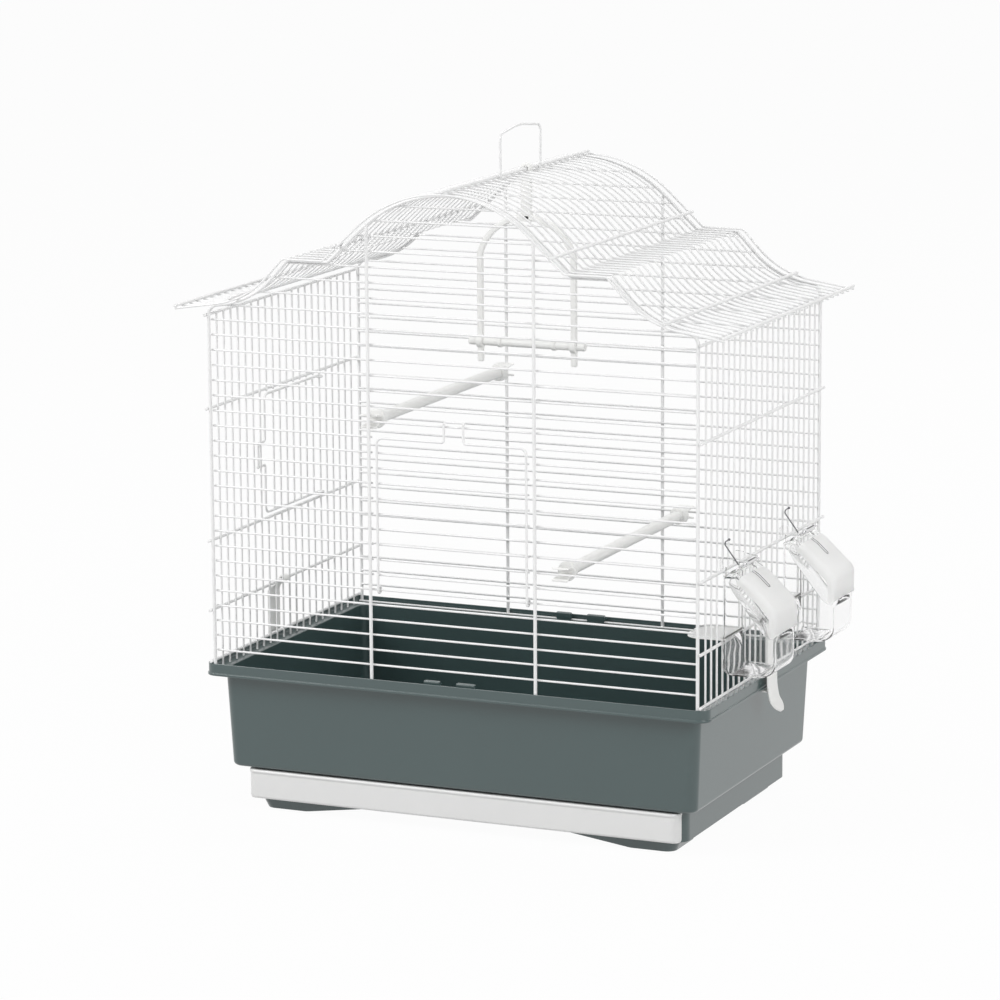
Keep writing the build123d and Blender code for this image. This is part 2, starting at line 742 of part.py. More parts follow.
def drawer_front():
    """Hollow front with rounded ends and a bead along its upper edge."""
    top = tub_floor_z - drawer_front_gaps[0]
    low = tub_floor_z - plinth_h + drawer_front_gaps[1]
    back_y = -(plinth_half[1] + slide_gap)
    middle = Pos(0, back_y - drawer_front_t / 2, low)
    plan = Rectangle(2 * drawer_half, drawer_front_t)
    front_corners = plan.vertices().group_by(Axis.Y)[0]
    plan = fillet(front_corners, drawer_end_r)
    panel = extrude(plan, amount=top - low)
    bead = Pos(0, 0, top - low - drawer_bead_h) * extrude(plan, amount=drawer_bead_h)
    panel += Pos(0, -drawer_bead, 0) * bead
    pocket = Pos(0, shell_t, shell_t) * Box(
        2 * (drawer_half - drawer_end_r), drawer_front_t, top - low - 2 * shell_t,
        align=(Align.CENTER, Align.CENTER, Align.MIN)
    )
    return [middle * (panel - pocket)]


# Feeders
def feeder_middle(name):
    return pitch * feeder_wires[name]


def cup_face(wall):
    """Side outline of a cup, drawn wall thicknesses inside its outer face."""
    back = cup_back_x + wall
    floor = feeder_z + cup_floor_up + wall
    out = panel_x + cup_depth - wall
    face = feeder_z + cup_face_up
    top = feeder_z + cup_top_up
    corners = [(back, top), (back, floor), (out, floor), (out, face), (panel_x + cup_lid_out, top)]
    outline = make_face(Polyline(*corners, close=True))
    low = outline.vertices().group_by(Axis.Y)[0].sort_by(Axis.X)
    outline = fillet(low[0], cup_corner_r[0] - wall)
    low = outline.vertices().group_by(Axis.Y)[0].sort_by(Axis.X)
    return fillet(low[-1], cup_corner_r[1] - wall)


def feeder_cup(name):
    """Clear cup with its mouth towards the cage, a shelf through the panel and two ears."""
    y = feeder_middle(name)
    top = feeder_z + cup_top_up
    inner_w = 2 * (cup_half - cup_t)
    cup = standing(cup_face(0), y, 2 * cup_half)
    cup -= standing(cup_face(cup_t), y, inner_w)
    mouth_low = feeder_z + cup_mouth_up
    mouth_h = top - cup_t * 2 - mouth_low
    mouth = Pos(cup_back_x, y, mouth_low + mouth_h / 2)
    cup -= mouth * Box(4 * cup_t, inner_w, mouth_h)
    slant = Pos(panel_x + (cup_lid_out + cup_depth) / 2, y, top)
    cup -= slant * Box(cup_depth - cup_lid_out, inner_w, 2 * (cup_top_up - cup_face_up))
    shelf = Pos(cup_back_x + cup_t - cup_shelf_reach / 2, y, mouth_low - cup_t / 2)
    cup += shelf * Box(cup_shelf_reach, inner_w - 2 * cup_t, cup_t)
    for side in (-1, 1):
        cup += feeder_ear(y + side * (ear_y + ear_t / 2))
    return [cup]


def feeder_ear(y):
    """Ear that hooks over the panel's rod and carries one end of the lid's pin."""
    foot = feeder_z + cup_top_up - cup_t
    tip = feeder_z + ear_up
    inner = rod_x - rod_d / 2 - cup_gap
    arm_x = lid_x - 2 * knuckle_r
    corners = [(cup_back_x, foot), (cup_back_x, feeder_z + rod_d), (inner, feeder_z + rod_d)]
    corners += [(inner, feeder_z - rod_d), (inner - ear_t, feeder_z - rod_d)]
    corners += [(inner - ear_t, tip - ear_t), (inner, tip), (cup_back_x + ear_t, tip)]
    corners += [(arm_x, lid_z + knuckle_r), (lid_x, lid_z + knuckle_r)]
    corners += [(lid_x, lid_z - knuckle_r), (arm_x, lid_z - knuckle_r)]
    corners += [(arm_x - knuckle_r, foot)]
    face = make_face(Polyline(*corners, close=True))
    face += Pos(lid_x, lid_z) * turned(2 * knuckle_r)
    face -= Pos(lid_x, lid_z) * turned_bore(lid_pin_d)
    return standing(face, y, ear_t)


def feeder_point(out, up):
    return panel_x + out, feeder_z + up


def feeder_lid(name):
    """Curved lid with side flanges and two knuckles that turn on the pin."""
    y = feeder_middle(name)
    back, crest = feeder_point(*lid_back), feeder_point(*lid_crest)
    brow = (lid_out_x, feeder_z + lid_brow_up)
    edge = [feeder_point(*point) for point in lid_edge]
    lip = (lid_out_x, edge[1][1])
    behind = (2 * back[0] - crest[0], 2 * back[1] - crest[1])
    form = make_face(Polyline(behind, crest, brow, (brow[0], 0), (behind[0], 0), close=True))
    for corner in (brow, crest):
        form = fillet(form.vertices().sort_by_distance(corner)[0], lid_brow_r)
    sides = [back, (brow[0], back[1]), lip, *edge, (edge[-1][0], back[1])]
    lid_half = cup_half + lid_side_gap + lid_t
    lid = standing(form & make_face(Polyline(*sides, close=True)), y, 2 * lid_half)
    between = 2 * (lid_half - lid_t)
    lid -= standing(offset(form, -lid_t), y, between)
    open_back = Pos(back[0] - 5 * lid_t, back[1]) * Rectangle(10 * lid_t, 10 * lid_t)
    lid -= standing(open_back, y, between)
    web_h = lid_z - crest[1]
    knuckle = Pos(lid_x, lid_z) * turned(2 * knuckle_r)
    knuckle += Pos(lid_x, lid_z - web_h / 2) * Rectangle(2 * knuckle_r, web_h)
    knuckle -= offset(form, -lid_t / 2)
    knuckle -= Pos(lid_x, lid_z) * Circle(lid_pin_d / 2 + fit_gap)
    for side in (-1, 1):
        knuckle_y = y + side * (ear_y + ear_t + slide_gap + knuckle_w / 2)
        lid += standing(knuckle, knuckle_y, knuckle_w)
    return [lid]


def feeder_roller(name):
    """Bright pin through the ears and knuckles, thicker between the ears."""
    pin = rod_along(Plane.XZ, turned(lid_pin_d), ear_y + ear_t + slide_gap + knuckle_w)
    pin += rod_along(Plane.XZ, turned(roller_d), ear_y - slide_gap)
    return [Pos(lid_x, feeder_middle(name), lid_z) * pin]


def feeder_hook(name):
    """Wire hook from the roller up to the panel."""
    y = feeder_middle(name) - feeder_hook_y
    roller_top = lid_z + (roller_d + feeder_hook_d) / 2
    top = feeder_z + feeder_hook_up
    against_x = rod_x + feeder_hook_d / 2
    route = [(lid_x, y, roller_top), (lid_x - roller_d, y, roller_top)]
    route += [(against_x, y, top), (against_x + roller_d / 2, y, top + roller_d)]
    route += [(against_x + roller_d, y, top + roller_d)]
    return [bent_wire(route, feeder_hook_d, (0, 1, 0))]


# Clips
def clip(side):
    """Springy clip: a finger over the panel's rod, a plate past the rim, a catch and a tail."""
    rod_z = cage_z + rod_rises[clip_rod]
    turn_r = rod_d / 2 * corner_of_flats + hook_gap + clip_t / 2
    lip_foot = cage_z - rim_top_drop - lip_h
    catch_z = lip_foot - slide_gap - clip_t
    tail = (rim_half[0] + clip_tail[0], cage_z - clip_tail[1])
    finger = trace(CenterArc((rod_x, rod_z), turn_r, 0, 200), clip_t)
    path = Polyline(
        (rod_x + turn_r, rod_z), (rod_x + turn_r, rod_z - clip_t), (clip_x, rod_z - 3 * turn_r),
        (clip_x, catch_z - clip_t), tail
    )
    catch_l = clip_out + clip_t
    catch = Pos(clip_x - catch_l / 2, catch_z) * Rectangle(catch_l, clip_t)
    body = standing(finger, clip_y, pitch - wire_d - 2 * clip_gap)
    body += standing(trace(path, clip_t) + catch, clip_y, clip_w)
    return [body if side == 1 else mirror(body, about=Plane.YZ)]


# Every node and its solids
def build_nodes():
    door_cut = range(front_door_wires[0], front_door_wires[1] + 2)
    side_cut = range(side_door_wires[0], side_door_wires[1] + 1)
    feeder_cut = [w + step for w in feeder_wires.values() for step in (-1, 0, 1)]
    nodes = {
        "tub": tub(),
        "plinth": plinth(),
        "drawer_pan": drawer_pan(),
        "drawer_front": drawer_front(),
        "front_panel_frame": end_panel_frame(-1, front_bars),
        "front_panel_wires": end_panel_grille(-1, front_bars, door_cut),
        "back_panel_frame": end_panel_frame(1, back_bars),
        "back_panel_wires": end_panel_grille(1, back_bars, ()),
        "left_panel": side_panel(-1, side_cut, side_door_rods),
        "right_panel": side_panel(1, feeder_cut, feeder_rods),
        "roof_wires": roof_wires(),
        "roof_rods": roof_rods(),
        "front_door": front_door(),
        "side_door": side_door(),
        "handle": handle(),
        "swing_frame": swing_frame(),
        "swing_perch": swing_perch(),
        "clip_left": clip(-1),
        "clip_right": clip(1),
    }
    for name in perch_places:
        nodes[name] = perch(name)
        nodes[name + "_back_end"], nodes[name + "_front_end"] = ([e] for e in perch_ends(name))
    for name in feeder_wires:
        nodes[name + "_cup"] = feeder_cup(name)
        nodes[name + "_lid"] = feeder_lid(name)
        nodes[name + "_roller"] = feeder_roller(name)
        nodes[name + "_hook"] = feeder_hook(name)
    return nodes


os.makedirs("parts", exist_ok=True)
for node, pieces in build_nodes().items():
    solids = [solid for piece in pieces for solid in piece.solids()]
    export_step(Pos(-middle_x, 0, 0) * Compound(solids), f"parts/{node}.step")
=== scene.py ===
import bpy
import numpy as np
from mathutils import Matrix, Vector


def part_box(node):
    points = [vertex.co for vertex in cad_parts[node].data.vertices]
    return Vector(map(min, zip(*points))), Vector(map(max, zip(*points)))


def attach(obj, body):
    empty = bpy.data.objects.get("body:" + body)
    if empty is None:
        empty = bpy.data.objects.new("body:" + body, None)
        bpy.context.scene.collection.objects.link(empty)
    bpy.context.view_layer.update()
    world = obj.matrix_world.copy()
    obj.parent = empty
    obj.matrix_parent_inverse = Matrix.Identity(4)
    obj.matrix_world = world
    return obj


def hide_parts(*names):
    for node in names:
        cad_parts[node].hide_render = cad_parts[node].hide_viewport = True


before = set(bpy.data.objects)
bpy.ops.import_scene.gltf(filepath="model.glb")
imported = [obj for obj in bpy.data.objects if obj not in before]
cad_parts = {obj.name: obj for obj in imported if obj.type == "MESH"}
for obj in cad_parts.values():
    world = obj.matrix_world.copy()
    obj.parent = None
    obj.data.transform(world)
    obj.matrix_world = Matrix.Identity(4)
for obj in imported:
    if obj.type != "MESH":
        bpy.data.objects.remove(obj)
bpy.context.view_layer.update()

# The photograph's camera: a long lens a little above the cage's middle, looking down at
# its front right corner. Its place was solved from the posts, rods and rim; metres.
camera_place = (1.61295, -3.72928, 1.09384)
camera_turn, camera_tilt, camera_roll = np.radians([23.8188, 11.1557, -0.38854])
camera_lens_mm, camera_film_mm, camera_far = 156.58, 36.0, 60
behind = np.array([
    np.sin(camera_turn) * np.cos(camera_tilt),
    -np.cos(camera_turn) * np.cos(camera_tilt),
    np.sin(camera_tilt),
])
level_right = np.array([np.cos(camera_turn), np.sin(camera_turn), 0.0])
level_up = np.cross(behind, level_right)
right = np.cos(camera_roll) * level_right + np.sin(camera_roll) * level_up
axes = np.stack([right, np.cross(behind, right), behind], axis=1)
lens = bpy.data.cameras.new("photo_lens")
lens.lens = camera_lens_mm
lens.sensor_width = camera_film_mm
lens.clip_end = camera_far
camera = bpy.data.objects.new("photo_camera", lens)
camera.matrix_world = Matrix.Translation(Vector(camera_place)) @ Matrix(axes.tolist()).to_4x4()
bpy.context.scene.collection.objects.link(camera)
bpy.context.scene.camera = camera
bpy.context.scene.view_settings.view_transform = "Standard"

# The studio: a white floor that keeps a soft shadow, a white surround, and three large soft
# lamps: a strong one on the left, a weaker one on the right and one above from behind.
floor_half, floor_light, surround_light = 12.0, 0.965, 0.24
floor_grey, floor_roughness = 0.68, 0.9
lamp_aim = Vector((0, 0, 0.3))


def linked(name, mesh):
    """A new object for a mesh, in the scene."""
    piece = bpy.data.objects.new(name, mesh)
    bpy.context.scene.collection.objects.link(piece)
    return piece


def maths(nodes, operation, second=0.0):
    """A math node of the given kind, with its second value."""
    node = nodes.new("ShaderNodeMath")
    node.operation = operation
    node.inputs[1].default_value = second
    return node


def white_to_the_eye(tree, shader, glow_kind, strength):
    """Mix of a shader and plain white, white for camera, glossy and transmission rays."""
    nodes, links = tree.nodes, tree.links
    path = nodes.new("ShaderNodeLightPath")
    seen = path.outputs["Is Camera Ray"]
    for ray in ("Is Glossy Ray", "Is Transmission Ray"):
        either = maths(nodes, "MAXIMUM")
        links.new(seen, either.inputs[0])
        links.new(path.outputs[ray], either.inputs[1])
        seen = either.outputs[0]
    share = maths(nodes, "MULTIPLY", strength)
    glow = nodes.new(glow_kind)
    glow.inputs["Color"].default_value = (1, 1, 1, 1)
    mix = nodes.new("ShaderNodeMixShader")
    links.new(seen, share.inputs[0])
    links.new(share.outputs[0], mix.inputs[0])
    links.new(shader.outputs[0], mix.inputs[1])
    links.new(glow.outputs[0], mix.inputs[2])
    return mix


floor_mesh = bpy.data.meshes.new("studio_floor")
floor_corners = [(x * floor_half, y * floor_half, 0)
                 for x, y in ((-1, -1), (1, -1), (1, 1), (-1, 1))]
floor_mesh.from_pydata(floor_corners, [], [(0, 1, 2, 3)])
floor_paint = bpy.data.materials.new("studio_floor")
floor_paint.use_nodes = True
tree = floor_paint.node_tree
chalk = tree.nodes["Principled BSDF"]
chalk.inputs["Base Color"].default_value = (floor_grey, floor_grey, floor_grey, 1)
chalk.inputs["Roughness"].default_value = floor_roughness
mix = white_to_the_eye(tree, chalk, "ShaderNodeEmission", floor_light)
tree.links.new(mix.outputs[0], tree.nodes["Material Output"].inputs["Surface"])
floor_mesh.materials.append(floor_paint)
floor = linked("studio_floor", floor_mesh)

world = bpy.data.worlds.new("studio_surround")
bpy.context.scene.world = world
world.use_nodes = True
tree = world.node_tree
surround = tree.nodes["Background"]
surround.inputs["Color"].default_value = (1, 1, 1, 1)
surround.inputs["Strength"].default_value = surround_light
mix = white_to_the_eye(tree, surround, "ShaderNodeBackground", 1.0)
tree.links.new(mix.outputs[0], tree.nodes["World Output"].inputs["Surface"])

for name, place, size, watts in (
    ("window_left", (-2.4, -2.2, 2.6), 2.2, 105),
    ("fill_right", (2.8, -1.6, 1.6), 1.8, 54),
    ("top_rear", (0.4, 2.2, 3.0), 2.4, 46),
):
    lamp = bpy.data.lights.new(name, "AREA")
    lamp.size = size
    lamp.energy = watts
    holder = linked(name, lamp)
    holder.location = place
    holder.rotation_euler = (lamp_aim - Vector(place)).to_track_quat("-Z", "Y").to_euler()

# The roof wires: 25 lengths of white-coated steel wire, each bent over the same former into
# a round crown, a straight pitch, a flat shoulder and a flare out to the eave. Sizes are in
# millimetres, and points of the cage count from its middle and up from its lowest rods.
mm = 0.001
tub_low, tub_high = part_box("tub")
cage_x = (tub_low[0] + tub_high[0]) / 2
side_panel_top = 334
rod_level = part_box("left_panel")[1][2] - side_panel_top * mm
pitch, wire_r, outer_wire = 14.4, 1.0, 12
crown_top, crown_r, crown_slope = 457.0, 125.0, np.tan(np.radians(43))
shoulder_rise, shoulder_end = 390.5, 161.5
flare_r, flare_slope, eave_slope = 90.0, np.tan(np.radians(47)), np.tan(np.radians(8.65))
eave_end, eave_rise = 275.0, 338.4
bend_r = 5.0
roof_radii = (flare_r, bend_r, bend_r, crown_r, bend_r, bend_r, flare_r)


def at(x, y, rise):
    """Point of the cage in metres: its middle and lowest rods plus the given millimetres."""
    return np.array([cage_x + x * mm, y * mm, rod_level + rise * mm])


def unit(v):
    """The vector scaled to length one."""
    return v / np.linalg.norm(v)


def bent(corners, radii, step=8.0):
    """Route past the corners, each rounded to its radius: a circle's arc written as the
    rational curve through its two ends with the corner as its middle point."""
    corners = [np.asarray(c, float) for c in corners]
    route = [corners[0][None]]
    for before, corner, after, radius in zip(corners, corners[1:], corners[2:], radii):
        into, out = unit(corner - before), unit(after - corner)
        turn = np.arccos(np.clip(into @ out, -1, 1))
        reach = radius * mm * np.tan(turn / 2)
        t = np.linspace(0, 1, max(3, int(np.degrees(turn) / step) + 2))[:, None]
        start, end, weight = corner - into * reach, corner + out * reach, np.cos(turn / 2)
        share = (1 - t) ** 2 + 2 * weight * t * (1 - t) + t ** 2
        bow = (1 - t) ** 2 * start + 2 * weight * t * (1 - t) * corner + t ** 2 * end
        route.append(bow / share)
    route.append(corners[-1][None])
    return np.concatenate(route)


def quads_of(rows, cols, wrap_rows=False, wrap_cols=True):
    """Corner numbers of the faces between a grid's points."""
    r = np.arange(rows if wrap_rows else rows - 1)[:, None]
    c = np.arange(cols if wrap_cols else cols - 1)[None, :]
    r2, c2 = (r + 1) % rows, (c + 1) % cols
    quads = np.stack([r * cols + c, r * cols + c2, r2 * cols + c2, r2 * cols + c], axis=-1)
    return quads.reshape(-1, 4)


def capped(points):
    """Points and faces of a stack of rings: faces between them and one over each end."""
    rows, cols = points.shape[:2]
    caps = [list(range(cols))[::-1], [(rows - 1) * cols + i for i in range(cols)]]
    return points.reshape(-1, 3), quads_of(rows, cols).tolist() + caps


def heading(route):
    """Direction of a route at each point: from the point before it to the one after."""
    along = np.gradient(route, axis=0)
    return along / np.linalg.norm(along, axis=1, keepdims=True)


def wire_run(route, across, radius, sides=12, blunt=1):
    """Tube round a route that bends in one plane: at each point a ring of the radius in the
    two directions square to the route. across is square to the plane, and the ends narrow
    by blunt, which is 1 where another tube goes on from there."""
    route, along, radius = np.asarray(route), heading(route), radius * mm
    route = np.concatenate([route[:1], route[:1] + along[:1] * radius * 0.5, route[1:-1],
                            route[-1:] - along[-1:] * radius * 0.5, route[-1:]])
    along = np.concatenate([along[:1], along, along[-1:]])
    across = unit(np.asarray(across, float))
    square = np.cross(along, across)
    turn = np.linspace(0, 2 * np.pi, sides, endpoint=False)
    size = np.full(len(route), radius)
    size[0] = size[-1] = radius * blunt
    rings = across * np.cos(turn)[:, None] + square[:, None] * np.sin(turn)[None, :, None]
    return capped(route[:, None] + rings * size[:, None, None])


def joined(name, parts, paint, sharp=40.0):
    """One mesh object of several point-and-face parts, shaded smooth but for sharp edges."""
    points, faces, first = [], [], 0
    for part_points, part_faces in parts:
        points.append(part_points)
        faces += [[i + first for i in face] for face in part_faces]
        first += len(part_points)
    mesh = bpy.data.meshes.new(name)
    mesh.from_pydata(np.concatenate(points).tolist(), [], faces)
    mesh.materials.append(paint)
    mesh.polygons.foreach_set("use_smooth", [True] * len(mesh.polygons))
    mesh.set_sharp_from_angle(angle=np.radians(sharp))
    mesh.update()
    return linked(name, mesh)


def fitted(piece, body, slot, *nodes):
    """Hand a piece to the frame: its body and the nodes it stands for, if any. The slot is not
    used.
    """
    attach(piece, body)
    if nodes:
        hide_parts(*nodes)


def surface_effect():
    """Node group that every finish shares, since no coated or moulded surface is quite even:
    slow clouds mix the colour with its shade, and a fine grain moves the gloss and height."""
    group = bpy.data.node_groups.new("uneven_surface", "ShaderNodeTree")
    for way, sockets in (
        ("INPUT", {"Color": "Color", "Shade": "Color", "Clouds": "Float", "Grain": "Float",
                   "Roughness": "Float", "Spread": "Float"}),
        ("OUTPUT", {"Color": "Color", "Roughness": "Float", "Height": "Float"}),
    ):
        for name, kind in sockets.items():
            group.interface.new_socket(name, in_out=way, socket_type=f"NodeSocket{kind}")
    nodes, links = group.nodes, group.links
    taken, given = nodes.new("NodeGroupInput"), nodes.new("NodeGroupOutput")
    where = nodes.new("ShaderNodeTexCoord")
    clouds, grain = nodes.new("ShaderNodeTexNoise"), nodes.new("ShaderNodeTexNoise")
    for noise, scale, detail in ((clouds, "Clouds", 3), (grain, "Grain", 2)):
        noise.inputs["Detail"].default_value = detail
        links.new(where.outputs["Object"], noise.inputs["Vector"])
        links.new(taken.outputs[scale], noise.inputs["Scale"])
    blend = nodes.new("ShaderNodeMix")
    blend.data_type = "RGBA"
    links.new(clouds.outputs["Fac"], blend.inputs["Factor"])
    links.new(taken.outputs["Color"], blend.inputs[6])
    links.new(taken.outputs["Shade"], blend.inputs[7])
    links.new(blend.outputs[2], given.inputs["Color"])
    centred, spread = maths(nodes, "SUBTRACT", 0.5), maths(nodes, "MULTIPLY_ADD")
    links.new(grain.outputs["Fac"], centred.inputs[0])
    links.new(centred.outputs[0], spread.inputs[0])
    links.new(taken.outputs["Spread"], spread.inputs[1])
    links.new(taken.outputs["Roughness"], spread.inputs[2])
    links.new(spread.outputs[0], given.inputs["Roughness"])
    links.new(grain.outputs["Fac"], given.inputs["Height"])
    return group


uneven = surface_effect()
relief_depth = 0.4 * mm


def finish(name, color, shade, clouds, grain, roughness, spread, relief, **sockets):
    """Material with the uneven surface, and the shader's own sockets set plainly."""
    paint = bpy.data.materials.new(name)
    paint.use_nodes = True
    tree = paint.node_tree
    shader = tree.nodes["Principled BSDF"]
    effect = tree.nodes.new("ShaderNodeGroup")
    effect.node_tree = uneven
    values = {"Color": (*color, 1), "Shade": (*shade, 1), "Clouds": clouds, "Grain": grain,
              "Roughness": roughness, "Spread": spread}
    for socket, value in values.items():
        effect.inputs[socket].default_value = value
    bump = tree.nodes.new("ShaderNodeBump")
    bump.inputs["Strength"].default_value = relief
    bump.inputs["Distance"].default_value = relief_depth
    tree.links.new(effect.outputs["Color"], shader.inputs["Base Color"])
    tree.links.new(effect.outputs["Roughness"], shader.inputs["Roughness"])
    tree.links.new(effect.outputs["Height"], bump.inputs["Height"])
    tree.links.new(bump.outputs["Normal"], shader.inputs["Normal"])
    for socket, value in sockets.items():
        shader.inputs[socket.replace("_", " ")].default_value = value
    return paint


def roof_half(drop):
    """Corners of the outline's right half, lowered by drop, from the ridge out: the points
    where its straights meet."""
    peak = crown_top + crown_r * (np.sqrt(1 + crown_slope ** 2) - 1)
    shoulder_start = (peak - shoulder_rise) / crown_slope
    flare = shoulder_rise - eave_rise + flare_slope * shoulder_end - eave_slope * eave_end
    flare /= flare_slope - eave_slope
    flare_rise = eave_rise + eave_slope * (eave_end - flare)
    return [(0, peak - drop), (shoulder_start, shoulder_rise - drop),
            (shoulder_end, shoulder_rise - drop), (flare, flare_rise - drop)]


def across_roof(half, y):
    """Both halves of an outline as points of the cage at depth y."""
    whole = [(-x, rise) for x, rise in half[:0:-1]] + list(half)
    return [at(x, y, rise) for x, rise in whole]


white_coat = finish("white_coat", (0.88, 0.88, 0.88), (0.84, 0.84, 0.84), 25, 900,
                    0.32, 0.10, 0.05, Coat_Weight=0.25)
roof_line = bent(across_roof(roof_half(0) + [(eave_end, eave_rise)], 0), roof_radii, 4.0)
roof_parts = [wire_run(roof_line + [0, count * pitch * mm, 0], (0, 1, 0), wire_r, 12, 0.55)
              for count in range(-outer_wire, outer_wire + 1)]
fitted(joined("roof_wires_bent", roof_parts, white_coat), "cage", "white_wire", "roof_wires")

# The roof rods: seven straight coated rods laid along the roof over its wires and welded to
# them: one on the ridge, two on each slope and one along each eave.
roof_rod_r = 1.6
roof_rod_half = outer_wire * pitch + 2 * wire_r
roof_rod_places = (0.0, 107.0, 216.0, eave_end - roof_rod_r)


def straight_wires(starts, ends, radius, sides=12):
    """Many straight wires at once: for each, four rings of the two directions square to it,
    of which the end ones are narrower, for rounded ends."""
    starts, ends, radius = np.asarray(starts), np.asarray(ends), radius * mm
    along = ends - starts
    length = np.linalg.norm(along, axis=1, keepdims=True)
    along = along / length
    helper = np.where(np.abs(along[:, 2:]) > 0.9, [[1.0, 0, 0]], [[0, 0, 1.0]])
    one = np.cross(along, helper)
    one /= np.linalg.norm(one, axis=1, keepdims=True)
    two = np.cross(along, one)
    turn = np.linspace(0, 2 * np.pi, sides, endpoint=False)
    ring = one[:, None] * np.cos(turn)[:, None] + two[:, None] * np.sin(turn)[:, None]
    offsets = np.hstack([0 * length, 0 * length + radius / 2, length - radius / 2, length])
    sizes = radius * np.array([0.55, 1, 1, 0.55])
    middles = starts[:, None] + along[:, None] * offsets[:, :, None]
    points = middles[:, :, None] + ring[:, None] * sizes[None, :, None, None]
    first = np.arange(len(starts))[:, None, None] * 4 * sides
    quads = (quads_of(4, sides)[None] + first).reshape(-1, 4).tolist()
    ends_low = (np.arange(sides)[::-1][None] + first[:, 0]).tolist()
    ends_high = (np.arange(sides)[None] + 3 * sides + first[:, 0]).tolist()
    return points.reshape(-1, 3), quads + ends_low + ends_high


def roof_rod(x):
    """Middle of a rod over the roof wires, as x and rise: the point of their middle line
    over x, and from there both radii out, square to the line."""
    line = (roof_line[:, ::2] - [cage_x, rod_level]) / mm
    line = line[line[:, 0] > -0.001]
    i = np.clip(np.searchsorted(line[:, 0], x), 1, len(line) - 1)
    a, b = line[i - 1], line[i]
    run = unit(b - a)
    out = np.array([-run[1], run[0]]) * (wire_r + roof_rod_r)
    return a + (b - a) * (x - a[0]) / (b[0] - a[0]) + out


rod_starts, rod_ends = [], []
for place in roof_rod_places:
    x, rise = roof_rod(place)
    for side in (1,) if place == 0 else (1, -1):
        rod_starts.append(at(side * x, -roof_rod_half, rise))
        rod_ends.append(at(side * x, roof_rod_half, rise))
ridge_rise = roof_rod(0)[1]
roof_rods = straight_wires(rod_starts, rod_ends, roof_rod_r, 14)
fitted(joined("roof_rods_welded", [roof_rods], white_coat), "cage", "white_wire", "roof_rods")

# The front and back panels: a thick coated wire bent up one side, along the gable a little
# under the roof wires and down the other, two thick uprights welded under it, and thin
# wires welded across behind them. The front's thin wires are cut at the door.
panel_y, frame_r, gable_drop = 161.2, 1.65, 2.2
post_x, post_foot, post_bend = 245.0, -7.7, 10.0
gable_foot, bar_stub = 300, 2.5
grille_y = panel_y - frame_r - wire_r
first_rise, thin_count, lowest_rise = 11, 31, post_foot + 1.2
hinge_wire, latch_wire = 5, 16


def gable_line(y):
    """The frame wire's route, from foot to foot: the roof's outline, lowered, between two
    posts."""
    corner_rise = eave_rise - gable_drop + eave_slope * (eave_end - post_x)
    half = roof_half(gable_drop) + [(post_x, corner_rise), (post_x, post_foot)]
    return bent(across_roof(half, y), (post_bend, *roof_radii, post_bend), 5.0)


def gable_height(x, line):
    """Rise of the frame wire over x, read from its route's upper part."""
    upper = line[line[:, 2] > rod_level + gable_foot * mm]
    return (np.interp(cage_x + x * mm, upper[:, 0], upper[:, 2]) - rod_level) / mm


def gable_reach(rise, line):
    """How far from the middle the frame wire stands at a rise, read from its right half."""
    half = line[line[:, 0] > cage_x][::-1]
    return (np.interp(rod_level + rise * mm, half[:, 2], half[:, 0]) - cage_x) / mm


def end_panel(side, bars, cut):
    """Frame and thin wires of the front (side -1) or back (side 1). A thin wire ends at the
    frame wire, and a cut one also a stub past each upright."""
    line = gable_line(side * panel_y)
    feet = [at(x, side * panel_y, post_foot) for x in bars]
    heads = [at(x, side * panel_y, gable_height(x, line) - frame_r * 1.2) for x in bars]
    frame_parts = [wire_run(line, (0, 1, 0), frame_r, 14),
                   straight_wires(feet, heads, frame_r, 14)]
    full = post_x + frame_r
    spans = [(lowest_rise, full, False)]
    for k, rise in enumerate(first_rise + np.arange(thin_count) * pitch):
        spans.append((rise, min(gable_reach(rise, line) - wire_r, full), k in cut))
    starts, ends = [], []
    for rise, reach, split in spans:
        stops = [-reach, reach]
        if split:
            stops[1:1] = [bars[0] + bar_stub, bars[1] - bar_stub]
        starts += [at(x, side * grille_y, rise) for x in stops[::2]]
        ends += [at(x, side * grille_y, rise) for x in stops[1::2]]
    return frame_parts, [straight_wires(starts, ends, wire_r)]


for label, side, bars, cut in (
    ("front", -1, (-81.0, 85.5), range(hinge_wire + 1, latch_wire)),
    ("back", 1, (-83.0, 83.0), ()),
):
    for kind, node, parts in zip(("frame_wire", "thin_wires"), ("frame", "wires"),
                                 end_panel(side, bars, cut)):
        fitted(joined(f"{label}_{kind}", parts, white_coat), "cage", "white_wire",
               f"{label}_panel_{node}")

# The side panels: thin coated uprights welded inside five rods, which are welded to the
# posts. The uprights are cut away at the side door on the left and the feeders on the right.
# The CAD's wires are hexagons, whose flats are corner_share of a corner's distance out.
rod_r, corner_share = 1.5, np.cos(np.radians(30))
rod_x = post_x + frame_r / corner_share + rod_r
upright_x = rod_x - rod_r - wire_r
rod_rises = (0, 49.5, 116.4, 243.0, 332.0)
rod_reach, rod_stub = panel_y + 3.5, 2.0
outer_upright, side_hinge_wire, side_latch_wire = 10, 5, -4
side_door_cut = range(side_latch_wire + 1, side_hinge_wire)
feeder_counts = {"feeder_front": -6, "feeder_rear": 5}
feeder_cut = [count + step for count in feeder_counts.values() for step in (-1, 0, 1)]


